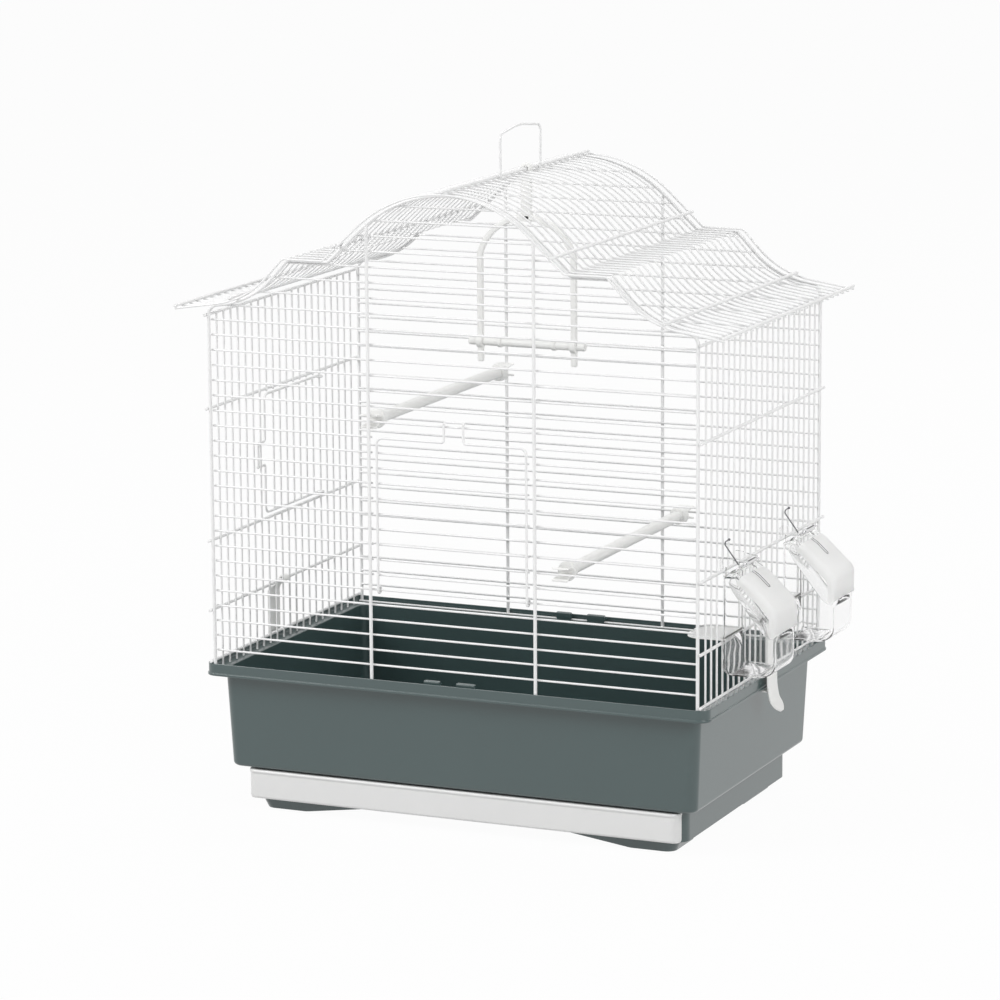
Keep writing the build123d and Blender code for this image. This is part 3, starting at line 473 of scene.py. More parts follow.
def side_panel(side, cut, rod):
    """Rods and uprights of one side. A cut upright stops a stub past the given rod and
    goes on a stub below the next."""
    rods = straight_wires([at(side * rod_x, -rod_reach, rise) for rise in rod_rises],
                          [at(side * rod_x, rod_reach, rise) for rise in rod_rises], rod_r)
    starts, ends = [], []
    for count in range(-outer_upright, outer_upright + 1):
        stops = [post_foot, rod_rises[-1] + rod_stub]
        if count in cut:
            stops[1:1] = [rod_rises[rod] + rod_stub, rod_rises[rod + 1] - rod_stub]
        starts += [at(side * upright_x, count * pitch, rise) for rise in stops[::2]]
        ends += [at(side * upright_x, count * pitch, rise) for rise in stops[1::2]]
    return [rods, straight_wires(starts, ends, wire_r)]


for label, side, cut, rod in (("left", -1, side_door_cut, 2), ("right", 1, feeder_cut, 1)):
    fitted(joined(f"{label}_grille", side_panel(side, cut, rod), white_coat),
           "cage", "white_wire", f"{label}_panel")

# The large front door: one coated wire bent round its sides and top with a hump for a latch,
# both ends curled round a wire of the panel, on which it turns down, and thin wires welded
# behind it. The latch leans in, to spring over the wire above the door.
door_r, hinge_gap, latch_out = 1.2, 0.35, 0.6
hook_reach = wire_r / corner_share + hinge_gap + door_r
door_left, door_right, door_top = -73.0, 77.5, 227.0
hinge_rise = first_rise + hinge_wire * pitch
door_y = -(grille_y + hook_reach)
door_wires_y = door_y + door_r + wire_r
latch_left, latch_right, latch_rise, door_overlap = -4.6, 14.9, 246.0, 2
neck_rise = first_rise + latch_wire * pitch + door_r + wire_r
door_bend, neck_bend, latch_bend = 6, 3, 1.3
curl = np.radians(np.arange(-90, 215, 12.0))


def arc(centre, radius, turn, one, two):
    """Points about a centre: the radius times (one times the turn's cosine plus two times
    its sine)."""
    turn = np.asarray(turn)[:, None]
    return centre + radius * mm * (np.cos(turn) * one + np.sin(turn) * two)


def door_hook(x):
    """Nearly closed ring of wire round the hinge wire, from the door's side round and up."""
    ring = arc(at(x, -grille_y, hinge_rise), hook_reach, curl, (0, 0, -1), (0, 1, 0))
    return wire_run(ring, (1, 0, 0), door_r)


door_parts = []
for x, neck_x, order in ((door_left, latch_left, 1), (door_right, latch_right, -1)):
    corners = [at(x, door_y, hinge_rise), at(x, door_y, door_top),
               at(neck_x, door_y, door_top), at(neck_x, door_y, neck_rise)]
    route = bent(corners[::order], (door_bend, neck_bend)[::order])
    door_parts.append(wire_run(route, (0, 1, 0), door_r))
door_parts += [door_hook(door_left), door_hook(door_right)]
latch = [at(latch_left, door_y, neck_rise), at(latch_left, -grille_y - latch_out, latch_rise),
         at(latch_right, -grille_y - latch_out, latch_rise), at(latch_right, door_y, neck_rise)]
square = np.cross(latch[1] - latch[0], [1, 0, 0])
door_parts.append(wire_run(bent(latch, (latch_bend, latch_bend)), square, door_r))
rises = first_rise + np.arange(hinge_wire + 1, latch_wire - 1) * pitch
wires_left, wires_right = door_left - door_overlap, door_right + door_overlap
door_parts.append(straight_wires([at(wires_left, door_wires_y, rise) for rise in rises],
                                 [at(wires_right, door_wires_y, rise) for rise in rises],
                                 wire_r))
fitted(joined("front_door_wire", door_parts, white_coat), "front_door", "white_wire",
       "front_door")

# The small side door on the left: coated wire bent, hooked and latched the same way, but
# turning on an upright, with thin uprights welded inside it.
side_y, side_free_y = side_hinge_wire * pitch, side_door_cut[0] * pitch
side_low_rise, side_high_rise = rod_rises[2] + 5.3, rod_rises[3] - 5.3
side_x = -(upright_x + hook_reach)
side_wires_x = side_x + door_r + wire_r
side_latch_low, side_latch_high = 169.0, 192.0
side_neck_y = side_latch_wire * pitch - door_r - wire_r
side_latch_y = side_free_y - 18.6
side_latch_x, side_neck_bend = -(upright_x + latch_out), 2.5


def side_hook(rise):
    """Nearly closed ring of wire round the upright that the door turns on."""
    ring = arc(at(-upright_x, side_y, rise), hook_reach, curl, (0, 1, 0), (1, 0, 0))
    return wire_run(ring, (0, 0, 1), door_r)


side_parts = [side_hook(side_low_rise), side_hook(side_high_rise)]
for rise, neck in ((side_high_rise, side_latch_high), (side_low_rise, side_latch_low)):
    corners = [at(side_x, side_y, rise), at(side_x, side_free_y, rise),
               at(side_x, side_free_y, neck), at(side_x, side_neck_y, neck)]
    side_parts.append(wire_run(bent(corners, (door_bend, side_neck_bend)), (1, 0, 0), door_r))
latch = [at(*place) for place in (
    (side_x, side_neck_y, side_latch_high), (side_latch_x, side_latch_y, side_latch_high),
    (side_latch_x, side_latch_y, side_latch_low), (side_x, side_neck_y, side_latch_low))]
square = np.cross(latch[1] - latch[0], [0, 0, 1])
side_parts.append(wire_run(bent(latch, (latch_bend, latch_bend)), square, door_r))
counts = side_door_cut[1:]
side_parts.append(straight_wires([at(side_wires_x, c * pitch, side_low_rise) for c in counts],
                                 [at(side_wires_x, c * pitch, side_high_rise) for c in counts],
                                 wire_r))
fitted(joined("side_door_wire", side_parts, white_coat), "side_door", "white_wire", "side_door")

# The carrying handle: one coated wire with a small hump in its top, both feet curled under
# the ridge rod, so that it stands up or lies down to either side.
handle_half, handle_top, hump_rise = 47.0, 499.0, 4.5
hump_low_y, hump_high_y = -11.0, 5.5
handle_reach = roof_rod_r / corner_share + hinge_gap + door_r
corners = [at(handle_reach, y, rise) for y, rise in (
    (-handle_half, ridge_rise), (-handle_half, handle_top),
    (hump_low_y, handle_top + hump_rise), (hump_high_y, handle_top + hump_rise),
    (handle_half, handle_top), (handle_half, ridge_rise))]
handle_parts = [wire_run(bent(corners, (6, 12, 12, 6)), (1, 0, 0), door_r, 14)]
under = np.radians(np.arange(90, 305, 12.0))
for y in (-handle_half, handle_half):
    foot = arc(at(0, y, ridge_rise), handle_reach, under, (0, 0, 1), (1, 0, 0))
    handle_parts.append(wire_run(foot, (0, 1, 0), door_r, 14))
fitted(joined("carry_handle", handle_parts, white_coat), "handle", "white_wire", "handle")

# The tub: an injection-moulded grey-green tray with an upright lip round its channelled rim,
# in which the wire body stands, walls that taper down to a rounded edge, hooked tabs over
# the lowest front and back wires, and a floor open over the drawer.
rim_x, rim_y, rim_r = 256.0, 165.0, 12.0
rim_top, rim_foot, channel = -1.9, -13.5, -7.7
tub_x, tub_y, tub_r = 242.0, 152.0, 10.0
foot_x, foot_y, tub_floor = 237.5, 149.0, -104.0
lip_t, bead_out, shell_t, flange = 2.0, 0.9, 2.5, 24
inner_r = tub_r - shell_t
tab_spans, tab_h, tab_t, tab_gap = ((-28.7, -12.5), (4.2, 23.3)), 8.4, 1.8, 0.35
tab_in, tab_out = grille_y - wire_r - tab_gap - tab_t, grille_y + wire_r


def stacked(levels, corner_steps=9):
    """Surface through rounded rectangles, one for each level (x, y, half x, half y, corner
    radius, z): each corner is a quarter circle about its own centre."""
    x, y, half_x, half_y, r, z = np.asarray(levels, float).T[:, :, None]
    turn = [np.linspace(q, q + 90, corner_steps) for q in (0, 90, 180, 270)]
    turn = np.radians(np.concatenate(turn))
    sign_x = np.repeat([1, -1, -1, 1], corner_steps)
    sign_y = np.repeat([1, 1, -1, -1], corner_steps)
    return np.stack([
        x + sign_x * (half_x - r) + r * np.cos(turn),
        y + sign_y * (half_y - r) + r * np.sin(turn),
        z + 0 * turn,
    ], axis=-1)


def level(half_x, half_y, r, rise, x=0.0, y=0.0):
    """One level of a stacked surface, from millimetres of the cage."""
    return (cage_x + x * mm, y * mm, half_x * mm, half_y * mm, r * mm, rod_level + rise * mm)


def rim_level(inset, rise):
    """Level of the rim's plan, moved in by the inset."""
    return level(rim_x - inset, rim_y - inset, rim_r - inset, rise)


def ring_part(levels, closed=True):
    """Faces of a stacked surface, whose last level joins its first if it is closed."""
    points = stacked(levels)
    rows, cols = points.shape[:2]
    return points.reshape(-1, 3), quads_of(rows, cols, wrap_rows=closed).tolist()


def moulded(name, parts, paint):
    """Joined parts whose flat faces stay flat beside their rounded edges."""
    piece = joined(name, parts, paint, 50)
    flatten = piece.modifiers.new("flat_faces", "WEIGHTED_NORMAL")
    flatten.keep_sharp = True
    return piece


tray_green = finish("tray_green", (0.046, 0.078, 0.078), (0.040, 0.069, 0.069), 9, 1500,
                    0.32, 0.12, 0.05, Specular_IOR_Level=0.75, Coat_Weight=0.4)
tub_profile = [
    level(foot_x - flange, foot_y - flange, inner_r, tub_floor + shell_t),
    level(foot_x - shell_t, foot_y - shell_t, inner_r, tub_floor + shell_t),
    level(tub_x - shell_t, tub_y - shell_t, inner_r, channel),
    rim_level(lip_t, channel), rim_level(lip_t, rim_top), rim_level(bead_out, rim_top),
    rim_level(bead_out, rim_foot + 2.7), rim_level(0, rim_foot + 2.1), rim_level(0, rim_foot),
    rim_level(lip_t, rim_foot), rim_level(lip_t, channel - shell_t),
    level(tub_x, tub_y, tub_r, channel - shell_t), level(foot_x, foot_y, tub_r, tub_floor),
    level(foot_x - flange, foot_y - flange, inner_r, tub_floor),
]
tub_radii = (3.5, 1.2, 1.0, 0.5, 0.5, 0.3, 0.5, 0.8, 0.9, 0.5, 1.5, 4.0)
tub_parts = [ring_part(bent(tub_profile, tub_radii, 22))]
cap_half = (tab_out - tab_in) / 2
for low_x, high_x in tab_spans:
    middle, half = (low_x + high_x) / 2, (high_x - low_x) / 2
    for side in (-1, 1):
        wall_y, cap_y = side * (tab_in + 1.1), side * (tab_in + tab_out) / 2
        wall = [level(half - 0.5, 0.8, 0.6, channel - 1, middle, wall_y),
                level(half - 0.5, 0.8, 0.6, channel + tab_h - 2, middle, wall_y)]
        cap = [level(half, cap_half, 1, channel + 2.4, middle, cap_y),
               level(half, cap_half, 1, channel + tab_h - 1.2, middle, cap_y),
               level(half - 0.4, cap_half - 0.4, 0.7, channel + tab_h - 0.4, middle, cap_y),
               level(half - 1.2, cap_half - 1.1, 0.3, channel + tab_h, middle, cap_y)]
        tub_parts += [capped(stacked(wall)), capped(stacked(cap))]
fitted(moulded("tub_moulding", tub_parts, tray_green), "cage", "base_plastic", "tub")

# The plinth: a lower box of the same moulded plastic under the tub, its front cut away for
# the drawer, on four feet that rise from a long ramp and end steeply on the outside.
plinth_x, plinth_y, plinth_r, plinth_floor = 223.0, 136.0, 14.0, -136.0
plinth_in_r, ground = plinth_r - shell_t, plinth_floor - 11
foot_spans = ((-134.0, -70.0), (43.0, 130.0))
ramp_middle, ramp_half, flat_middle, flat_half = 147.5, 67.5, 185.0, 25.0
plinth_levels = [
    level(plinth_x - shell_t, plinth_y - shell_t, plinth_in_r, plinth_floor + shell_t),
    level(plinth_x - shell_t, plinth_y - shell_t, plinth_in_r, tub_floor),
    level(plinth_x, plinth_y, plinth_r, tub_floor),
    level(plinth_x, plinth_y, plinth_r, plinth_floor),
]
plinth_parts = [ring_part(bent(plinth_levels, (0.4, 0.4), 30), closed=False)]
for corner_level, order in ((plinth_levels[0], 1), (plinth_levels[-1], -1)):
    face = stacked([corner_level])[0]
    plinth_parts.append((face, [list(range(len(face)))[::order]]))
for side in (-1, 1):
    for low_y, high_y in foot_spans:
        y, half_y = (low_y + high_y) / 2, (high_y - low_y) / 2
        foot = [level(ramp_half, half_y, 10, plinth_floor + 1, side * ramp_middle, y),
                level(flat_half, half_y - 3, 10, ground, side * flat_middle, y),
                level(flat_half - 3, half_y - 6, 8, ground, side * flat_middle, y)]
        plinth_parts.append(capped(stacked(bent(foot, (3.0,), 20)[::-1])))
fitted(moulded("plinth_moulding", plinth_parts, tray_green), "cage", "base_plastic", "plinth")

# The drawer: a moulded pan, which is the CAD's own, behind a gloss white moulded front with
# rounded ends and a raised bead along its top edge. It slides out of the plinth.
for slot_of_pan in bpy.data.objects["drawer_pan"].material_slots:
    slot_of_pan.material = tray_green
drawer_half, drawer_back, drawer_t, drawer_end_r = 220.0, 136.3, 11.0, 8.0
drawer_top, drawer_foot = -106.0, -134.5
bead, bead_h = 1.1, 3.2
drawer_white = finish("drawer_white", (0.80, 0.80, 0.795), (0.77, 0.77, 0.765), 12, 500,
                      0.30, 0.10, 0.05, Coat_Weight=0.15)


def round_front(out, rise):
    """One level of the front: its plan, from the back left corner round the front to the
    back right, moved out by the given amount."""
    y_back, y_front = -drawer_back, -(drawer_back + drawer_t + out)
    half = drawer_half + out / 2
    corners = [at(-half, y_back, rise), at(-half, y_front, rise),
               at(half, y_front, rise), at(half, y_back, rise)]
    return bent(corners, (drawer_end_r + out, drawer_end_r + out), 10)


bead_foot = drawer_top - bead_h
front_profile = [(-2.8, drawer_foot), (-1.4, drawer_foot + 0.4), (-0.4, drawer_foot + 1.4),
                 (0, drawer_foot + 2.8), (0, bead_foot - 1.2), (0.1, bead_foot - 0.6),
                 (0.5, bead_foot + 0.1), (bead - 0.2, bead_foot + 0.6), (bead, bead_foot + 1.2),
                 (bead, drawer_top - 1.4), (bead - 0.4, drawer_top - 0.4),
                 (bead - 1.4, drawer_top)]
front_levels = np.stack([round_front(out, rise) for out, rise in front_profile])
rows, cols = front_levels.shape[:2]
front_faces = quads_of(rows, cols, wrap_cols=False)[:, ::-1].tolist()
left_edge = [i * cols for i in range(rows)]
right_edge = [i + cols - 1 for i in left_edge]
last_level = [i + left_edge[-1] for i in range(cols)]
front_faces += [right_edge[::-1] + left_edge, list(range(cols)), last_level[::-1]]
front_part = (front_levels.reshape(-1, 3), front_faces)
fitted(moulded("drawer_front_moulding", [front_part], drawer_white), "drawer",
       "drawer_plastic", "drawer_front")

# The perches: turned dowels between the front and back panels, each end pushed into a
# moulded socket, whose cuff is inside the panel and whose forked tail points along it.
perch_r, perch_in = 5.5, 8
end_l, cuff_r, tail_l, end_large = 26.0, 9.3, 17.0, 6.9
end_tip = grille_y + wire_r
blade_gap, blade_t = 2.6, 1.1
part_white = finish("part_white", (0.90, 0.90, 0.885), (0.87, 0.87, 0.855), 30, 800,
                    0.40, 0.12, 0.08)


def turned_part(start, end, profile, sides=28):
    """Surface turned about the line from start to end: profile is (distance along it,
    radius) in millimetres, and each radius is a circle square to the line."""
    along = unit(end - start)
    one = unit(np.cross(along, [0.3, 0.5, 0.8]))
    two = np.cross(along, one)
    turn = np.linspace(0, 2 * np.pi, sides, endpoint=False)
    ring = one * np.cos(turn)[:, None] + two * np.sin(turn)[:, None]
    distance, radius = np.array(profile).T[:, :, None, None] * mm
    return capped(start + along * distance + ring[None] * radius)


def band_run(route, across, half_across, half_thick):
    """Band round a route: each ring is a rounded oblong, the roots of a cosine and a sine
    times its half width along across and its half thickness square to it. A smaller ring,
    a little further on, closes each end."""
    end_size, end_on = 0.8, 0.3
    route, along = np.asarray(route), heading(route)
    across = unit(np.asarray(across, float))
    square = np.cross(along, across)
    turn = np.radians(np.arange(11.25, 360, 22.5))
    wide = np.sign(np.cos(turn)) * np.abs(np.cos(turn)) ** 0.5
    thick = np.sign(np.sin(turn)) * np.abs(np.sin(turn)) ** 0.5
    half_across = np.broadcast_to(half_across, len(route))[:, None, None] * mm
    half_thick = np.broadcast_to(half_thick, len(route))[:, None, None] * mm
    points = route[:, None] + across * wide[:, None] * half_across
    points = points + square[:, None] * thick[None, :, None] * half_thick
    start = route[0] - along[0] * half_thick[0, 0, 0] * end_on
    end = route[-1] + along[-1] * half_thick[-1, 0, 0] * end_on
    first = start + (points[0] - route[0]) * end_size
    last = end + (points[-1] - route[-1]) * end_size
    return capped(np.concatenate([first[None], points, last[None]]))


for name, x, count in (("perch_high", -82.0, 16), ("perch_low", 109.0, 7)):
    rise = first_rise + pitch * count
    reach = end_tip - end_l + perch_in
    dowel = turned_part(at(x, -reach, rise), at(x, reach, rise),
                        [(0, perch_r), (2 * reach, perch_r)])
    fitted(joined(f"{name}_dowel", [dowel], part_white), "cage", "white_plastic", name)
    for label, side in (("back", 1), ("front", -1)):
        cuff = [(tail_l, cuff_r - 2.4), (tail_l + 0.5, cuff_r - 0.5), (tail_l + 1.2, cuff_r),
                (end_l - 1.5, cuff_r - 1.0), (end_l - 0.4, cuff_r - 1.6), (end_l, cuff_r - 2.2)]
        end_parts = [turned_part(at(x, side * end_tip, rise), at(x, 0, rise), cuff)]
        s = np.linspace(0, 1, 9)
        for up in (-1, 1):
            lift = rise + up * (blade_gap + (end_large - 1.2 - blade_gap) * s ** 1.5)
            place = side * (end_tip - tail_l - 2 + (tail_l + 1.2) * s)
            blade = at(x + 0 * s, place, lift).T
            end_parts.append(band_run(blade, (1, 0, 0), 5.0 + 3.2 * s, blade_t))
        fitted(moulded(f"{name}_{label}_socket", end_parts, part_white), "cage",
               "white_plastic", f"{name}_{label}_end")

# The swing: a flat moulded arch whose stem hooks over the ridge rod, with a turned dowel
# through a boss on each leg and two collars that keep it in the middle.
swing_y, swing_half, swing_t = 21.6, 48.3, 2.5
arch_drop, shoulder_drop, swing_drop, foot_drop = 44.0, 80.0, 165.0, 183.5
leg_half, swing_hook_r, swing_hook_t = 3.0, 4.1, 1.7
dowel_half, collar_half = 60, 28


def hung(x, drop):
    """Point of the swing: from its middle, and down from the top of the roof wires."""
    return at(x, swing_y, crown_top - drop)


arch_h = shoulder_drop - arch_drop
arch_r = (swing_half ** 2 + arch_h ** 2) / (2 * arch_h)
open_half = np.arcsin(swing_half / arch_r)
over = np.linspace(-open_half, open_half, 33)
arch = arc(hung(0, arch_drop + arch_r), arch_r, over, (0, 0, 1), (1, 0, 0))
legs = [hung(-swing_half, foot_drop), *arch, hung(swing_half, foot_drop)]
stem = [hung(0, arch_drop + 2), hung(0, arch_drop - 8), hung(0, 9), hung(0, 4)]
round_rod = np.radians(np.linspace(-75, 165, 25))
hook = arc(at(0, swing_y, ridge_rise), swing_hook_r, round_rod, (1, 0, 0), (0, 0, 1))
swing_parts = [band_run(legs, (0, 1, 0), swing_t, leg_half),
               band_run(stem, (0, 1, 0), swing_t, (6.5, 5.5, 5.5, 3.2)),
               band_run(hook, (0, 1, 0), swing_t, swing_hook_t)]
boss = [(0, 5.6), (0.4, 6.3), (1, 6.5), (5, 6.5), (5.6, 6.3), (6, 5.6)]
for middle in (-swing_half, swing_half):
    boss_ends = hung(middle - 3, swing_drop), hung(middle + 3, swing_drop)
    swing_parts.append(turned_part(*boss_ends, boss))
fitted(moulded("swing_arch_moulding", swing_parts, part_white), "swing", "white_plastic",
       "swing_frame")
dowel = [(0, 3.3), (0.5, 3.9), (1.2, 4.0)]
for middle in (dowel_half - collar_half, dowel_half + collar_half):
    dowel += [(middle - 2, 4.0), (middle - 1.9, 4.8), (middle - 1.4, 5.0),
              (middle + 1.4, 5.0), (middle + 1.9, 4.8), (middle + 2, 4.0)]
dowel += [(2 * dowel_half - 1.2, 4.0), (2 * dowel_half - 0.5, 3.9), (2 * dowel_half, 3.3)]
dowel_part = turned_part(hung(-dowel_half, swing_drop), hung(dowel_half, swing_drop), dowel)
fitted(moulded("swing_dowel", [dowel_part], part_white), "swing", "white_plastic",
       "swing_perch")

# The clips that hold the cage to its base: a springy moulded tongue with a finger over the
# second rod, a plate past the rim, a catch under the rim and a tail curled for the thumb.
clip_y, clip_out, finger_r, clip_t = -7.2, 260.0, 3.08, 1.0
plate_half, plate_t, catch_half, catch_rise = 12.6, 1.1, 12.0, -15.8
tail_round, head_round = 10.0, 4.0


def evenly(route, count):
    """The route again as count points, each read at its equal share of the length."""
    step = np.linalg.norm(np.diff(route, axis=0), axis=1)
    travelled = np.concatenate([[0], np.cumsum(step)])
    s = np.linspace(0, travelled[-1], count)
    return np.stack([np.interp(s, travelled, axis) for axis in np.transpose(route)], axis=1)


for label, side in (("right", 1), ("left", -1)):
    finger = arc(at(side * rod_x, clip_y, rod_rises[1]), finger_r,
                 np.radians(np.arange(200, -1, -10.0)), (side, 0, 0), (0, 0, 1))
    plate = bent([at(side * x, clip_y, rise) for x, rise in (
        (rod_x + 3.1, rod_rises[1]), (rod_x + 3.1, 46), (clip_out, 40), (clip_out, -12),
        (clip_out + 2.5, -25), (clip_out + 10, -35))], (2, 8, 60, 14), 6)
    plate = evenly(plate, 60)
    s = np.arange(60) * np.linalg.norm(plate[1] - plate[0]) / mm
    width = plate_half * np.sqrt(1 - np.clip(1 - (s[-1] - s) / tail_round, 0, 0.96) ** 2)
    width = width * np.sqrt(1 - np.clip(1 - s / head_round, 0, 0.75) ** 2)
    catch = [at(side * (clip_out - inset), clip_y, catch_rise) for inset in (0.5, 5.5)]
    parts = [band_run(finger, (0, 1, 0), 5.0, clip_t),
             band_run(plate, (0, 1, 0), width, plate_t),
             band_run(catch, (0, 1, 0), catch_half, clip_t)]
    fitted(moulded(f"clip_{label}_moulding", parts, part_white), f"clip_{label}",
           "white_plastic", f"clip_{label}")

# The feeders: crystal clear injection-moulded cups that hook over a rod of the panel by two
# ears, with a frosted shelf inside the cage, a frosted lid that turns on a bright steel
# roller, and a dark wire hook that holds the cup to the panel.
cup_half, cup_back, cup_out, cup_t = 28.5, 250.3, 301.8, 1.5
cup_floor, cup_face, cup_top, cup_lid_x = 20.5, 66.0, 113.0, 263.0
cup_mouth, mouth_top, corner_steps = 53.6, 110, 7
lid_half, lid_t, lid_rows, frost_depth = 30.4, 1.2, 40, 8.5
hinge_x, lid_hinge_rise, ear_out = 267, 122.5, 17.3
slot_half, slot_line_r, slot_first, slot_last, first_frosted_row = 2.1, 0.26, 4, 14, 4
# The dark line on each roller is painted reflection: a near black tube along its top, for the
# dark band that the bright steel shows.
reflection_r, reflection_out, reflection_up = 0.85, 0.6, 1.35
clear = finish("clear_styrene", (0.985, 0.985, 0.985), (0.965, 0.965, 0.965), 20, 300,
               0.04, 0.03, 0.02, Transmission_Weight=0.98, IOR=1.16)
frosted = finish("frosted_styrene", (0.965, 0.965, 0.96), (0.95, 0.95, 0.945), 20, 900,
                 0.50, 0.10, 0.10, Transmission_Weight=0.50, IOR=1.15)
chrome = finish("bright_steel", (0.72, 0.72, 0.73), (0.62, 0.62, 0.63), 40, 1200,
                0.10, 0.06, 0.03, Metallic=1.0)
# Near black for painted shade and painted reflection: the dark edges drawn on each lid's slot
# and the dark band drawn along each roller.
shade_and_reflection_paint = finish("painted_shade_and_reflection", (0.10, 0.10, 0.10), (0.07, 0.07, 0.07), 60, 900,
                   0.55, 0.10, 0.05)
dark_wire = finish("hook_wire", (0.16, 0.16, 0.17), (0.10, 0.10, 0.11), 90, 1500,
                   0.28, 0.10, 0.03, Metallic=1.0)
ear = [(cup_back, 111.5), (cup_back, 119.4), (246.5, 119.4), (246.5, 113.4), (244.5, 113.4),
       (244.5, 126), (246.5, 128), (252.3, 128), (261.8, 125.1), (267, 125.1), (268.8, 124.4),
       (269.6, 122.5), (268.8, 120.7), (267, 119.9), (261.8, 119.9), (257.9, 111.5)]
crest = [(263.2, 118.2), (275.5, 110.6), (cup_out + 1.5, 85.0), (cup_out + 1.5, 61.5)]
lid_edge = [(257.5, 108.0), (262.0, 99.5), (276.0, 81.5), (291.5, 62.3), (297.5, 58.3),
            (301.0, 58.5)]
pin = [(0, 1.0), (0.3, 1.2), (8.8, 1.2), (8.8, 1.9), (9.2, 2.1), (33.4, 2.1), (33.8, 1.9),
       (33.8, 1.2), (42.3, 1.2), (42.6, 1.0)]
pin_half = pin[-1][0] / 2
shelf_profile = [(0.5, cup_mouth - 1.5), (0, cup_mouth - 1.1), (0, cup_mouth + 1.0),
                 (0.4, cup_mouth + 1.4), (1.2, cup_mouth + 1.4), (1.8, cup_mouth)]
hook_points = [(262.6, 122.4), (249.2, 140.2), (249.6, 143.0), (253.3, 145.4)]
hook_ball, hook_wire_r = 1.2, 0.6


def cup_levels():
    """Levels of a cup: rounded rectangles whose front and back follow the side outline,
    with a circle at each foot corner and a slant above the face."""
    front_r, back_r, side_in, side_round = 15, 7, 2.5, 8
    foot = np.radians(np.linspace(0, 90, 7))
    rises = np.concatenate([cup_floor + front_r * (1 - np.cos(foot)), [cup_mouth, cup_face],
                            np.linspace(cup_face, mouth_top, 5)[1:], [cup_top]])
    over = np.clip(cup_floor + front_r - rises, 0, None)
    out = cup_out - front_r + np.sqrt(np.clip(front_r ** 2 - over ** 2, 0, None))
    over = np.clip(cup_floor + back_r - rises, 0, None)
    back = cup_back + back_r - np.sqrt(np.clip(back_r ** 2 - over ** 2, 0, None))
    slant = np.clip((rises - cup_face) / (cup_top - cup_face), 0, 1)
    out = out - slant * (cup_out - cup_lid_x)
    side = cup_half - side_in * np.clip(1 - (rises - cup_floor) / side_round, 0, 1) ** 2
    corner = np.minimum(5.0, (out - back) / 2 - 0.5)
    return np.stack([(out - back) / 2, side, corner, rises, (back + out) / 2], axis=1)


def shelf_level(y, inset, rise):
    """Plan of the shelf at one level: round at its inner end, square at the cup."""
    outer_x, inner_x, half, end_r = 251.0, 211.8 + inset, 25.4 - inset, 13.0
    corners = [at(x, y + out, rise) for x, out in (
        (outer_x, half), (inner_x, half), (inner_x, -half), (outer_x, -half))]
    return bent(corners, (end_r, end_r), 10)


def walled(name, part, thickness):
    """Clear piece of an outer surface and a wall of the given thickness inside it."""
    piece = joined(name, [part], clear, 60)
    wall = piece.modifiers.new("wall", "SOLIDIFY")
    wall.thickness = thickness * mm
    wall.offset = -1
    return piece


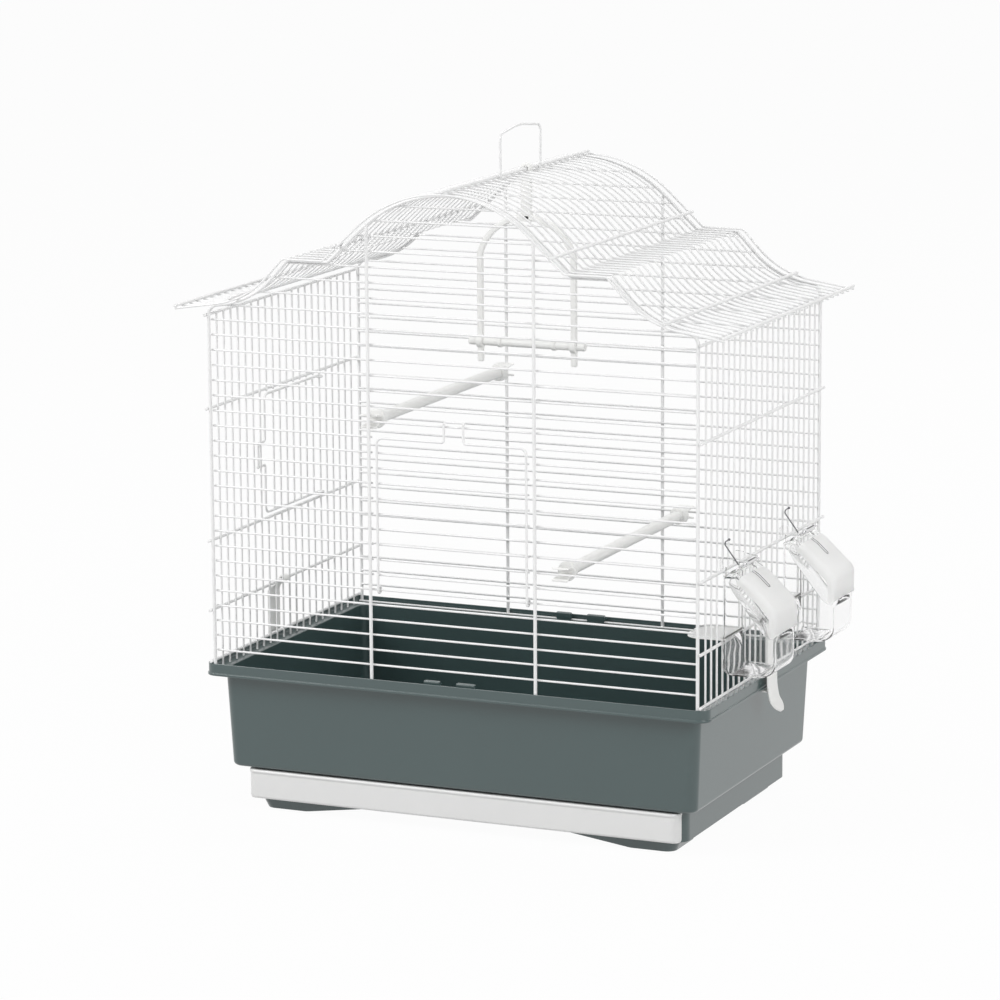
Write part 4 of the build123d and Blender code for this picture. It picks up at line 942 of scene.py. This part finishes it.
for name, count in feeder_counts.items():
    y = count * pitch
    levels = cup_levels()
    rises = levels[:-1, 3]
    grid = stacked([level(*item, y) for item in levels], corner_steps)
    rows, cols = grid.shape[:2]
    front_face, back_face = cols - 1, 2 * corner_steps - 1
    keep = np.ones((rows - 1, cols), bool)
    keep[rises >= cup_face - 0.1, front_face] = False
    keep[(rises >= cup_mouth - 0.1) & (rises < mouth_top - 0.1), back_face] = False
    faces = quads_of(rows, cols).reshape(rows - 1, cols, 4)[keep].tolist()
    faces.append(list(range(cols))[::-1])
    cup = walled(f"{name}_cup_shell", (grid.reshape(-1, 3), faces), cup_t)
    fitted(cup, "cage", "clear_plastic", f"{name}_cup")

    ears = [capped(np.array([[at(x, y + side * ear_out + face, rise) for x, rise in ear]
                             for face in (-1, 1)])) for side in (-1, 1)]
    fitted(moulded(f"{name}_ears", ears, clear), "cage", "clear_plastic")

    # The lid's surface is a grid: along the crest, and across it from one lower edge over
    # the two rounded corners to the other. Its lower edges and hinge end aren't frosted.
    top = evenly(bent([at(x, y, rise) for x, rise in crest], (8.0, 11.0), 6), lid_rows)
    low = evenly(np.array([at(x, y, rise) for x, rise in lid_edge]), lid_rows)
    depth = np.linalg.norm(low - top, axis=1)[:, None, None]
    down = ((low - top) / depth[:, 0])[:, None]
    corner = np.minimum(5.0 * mm, depth * 0.6)
    turn = np.radians(np.linspace(0, 90, corner_steps))
    across = np.concatenate([[-1, -1], -np.cos(turn), np.cos(turn)[::-1], [1, 1]])
    sunk = np.concatenate([[0, 0], np.sin(turn), np.sin(turn)[::-1], [0, 0]])
    across, sunk = across[None, :, None], sunk[None, :, None]
    inside = [0] * 2 * corner_steps
    ends = np.array([1, 0, *inside, 0, 1])[None, :, None]
    frost_end = np.array([0, 1, *inside, 1, 0])[None, :, None]
    v = np.sign(across) * (lid_half * mm - corner) + across * corner
    w = corner * (1 - sunk) * (1 - ends) + depth * ends
    w = w * (1 - frost_end) + np.minimum(frost_depth * mm, depth * 0.8) * frost_end
    sheet = top[:, None] + down * w + np.array([0, 1.0, 0]) * v
    rows, cols = sheet.shape[:2]
    faces = quads_of(rows, cols, wrap_cols=False)[:, ::-1].tolist()
    lid = walled(f"{name}_lid_shell", (sheet.reshape(-1, 3), faces), lid_t)
    lid.data.materials.append(frosted)
    face_row, face_col = np.divmod(np.arange(len(faces)), cols - 1)
    frost = (face_col > 0) & (face_col < cols - 2) & (face_row >= first_frosted_row)
    lid.data.polygons.foreach_set("material_index", frost.astype(int))
    fitted(lid, f"{name}_lid", "clear_plastic", f"{name}_lid")

    roller = turned_part(at(hinge_x, y - pin_half, lid_hinge_rise),
                         at(hinge_x, y + pin_half, lid_hinge_rise), pin, 20)
    fitted(moulded(f"{name}_bright_roller", [roller], chrome), "cage", "bright_steel",
           f"{name}_roller")
    # A near black line along the top of the roller, a little proud of it: painted reflection of
    # the darker things round the bright steel.
    dark_reflection = wire_run([at(hinge_x + reflection_out, y + along, lid_hinge_rise + reflection_up)
                     for along in (-7.5, 0.0, 11.8)], (0, 0, 1), reflection_r, 12, 0.6)
    fitted(joined(f"{name}_roller_dark_reflection", [dark_reflection], shade_and_reflection_paint), "cage", "bright_steel")

    hook = bent([at(x, y - ear_out, rise) for x, rise in hook_points], (1.5, 1), 15)
    turn = np.radians(np.linspace(4, 176, 9))
    ball = np.stack([hook_ball * (1 - np.cos(turn)), hook_ball * np.sin(turn)], axis=1)
    ball_half = np.array([hook_ball * mm, 0, 0])
    hook_parts = [wire_run(hook, (0, 1, 0), hook_wire_r, 10, 0.6),
                  turned_part(hook[-1] - ball_half, hook[-1] + ball_half, ball, 12)]
    fitted(joined(f"{name}_wire_hook", hook_parts, dark_wire), "cage", "bright_steel",
           f"{name}_hook")

    shelf = capped(np.stack([shelf_level(y, inset, rise) for inset, rise in shelf_profile]))
    fitted(moulded(f"{name}_shelf", [shelf], frosted), "cage", "clear_plastic")

    # The lid's slot: two dark lines along the crest and a half circle that joins them, drawn
    # just proud of the lid: painted shade of the slot's edges.
    run = heading(top)
    proud = np.stack([-run[:, 2], 0 * run[:, 0], run[:, 0]], axis=1)
    groove = (top + proud * 0.12 * mm)[slot_first:slot_last + 1]
    turn = np.radians(np.linspace(-90, 90, 13))
    tip = arc(groove[-1], slot_half, turn, run[slot_last], (0, 1, 0))
    slot_shade_parts = [wire_run(groove + [0, side * slot_half * mm, 0], (0, 1, 0), slot_line_r, 6)
                  for side in (-1, 1)]
    slot_shade_parts.append(wire_run(tip, proud[slot_last], slot_line_r, 6))
    fitted(joined(f"{name}_lid_slot_shade", slot_shade_parts, shade_and_reflection_paint), f"{name}_lid", "clear_plastic")
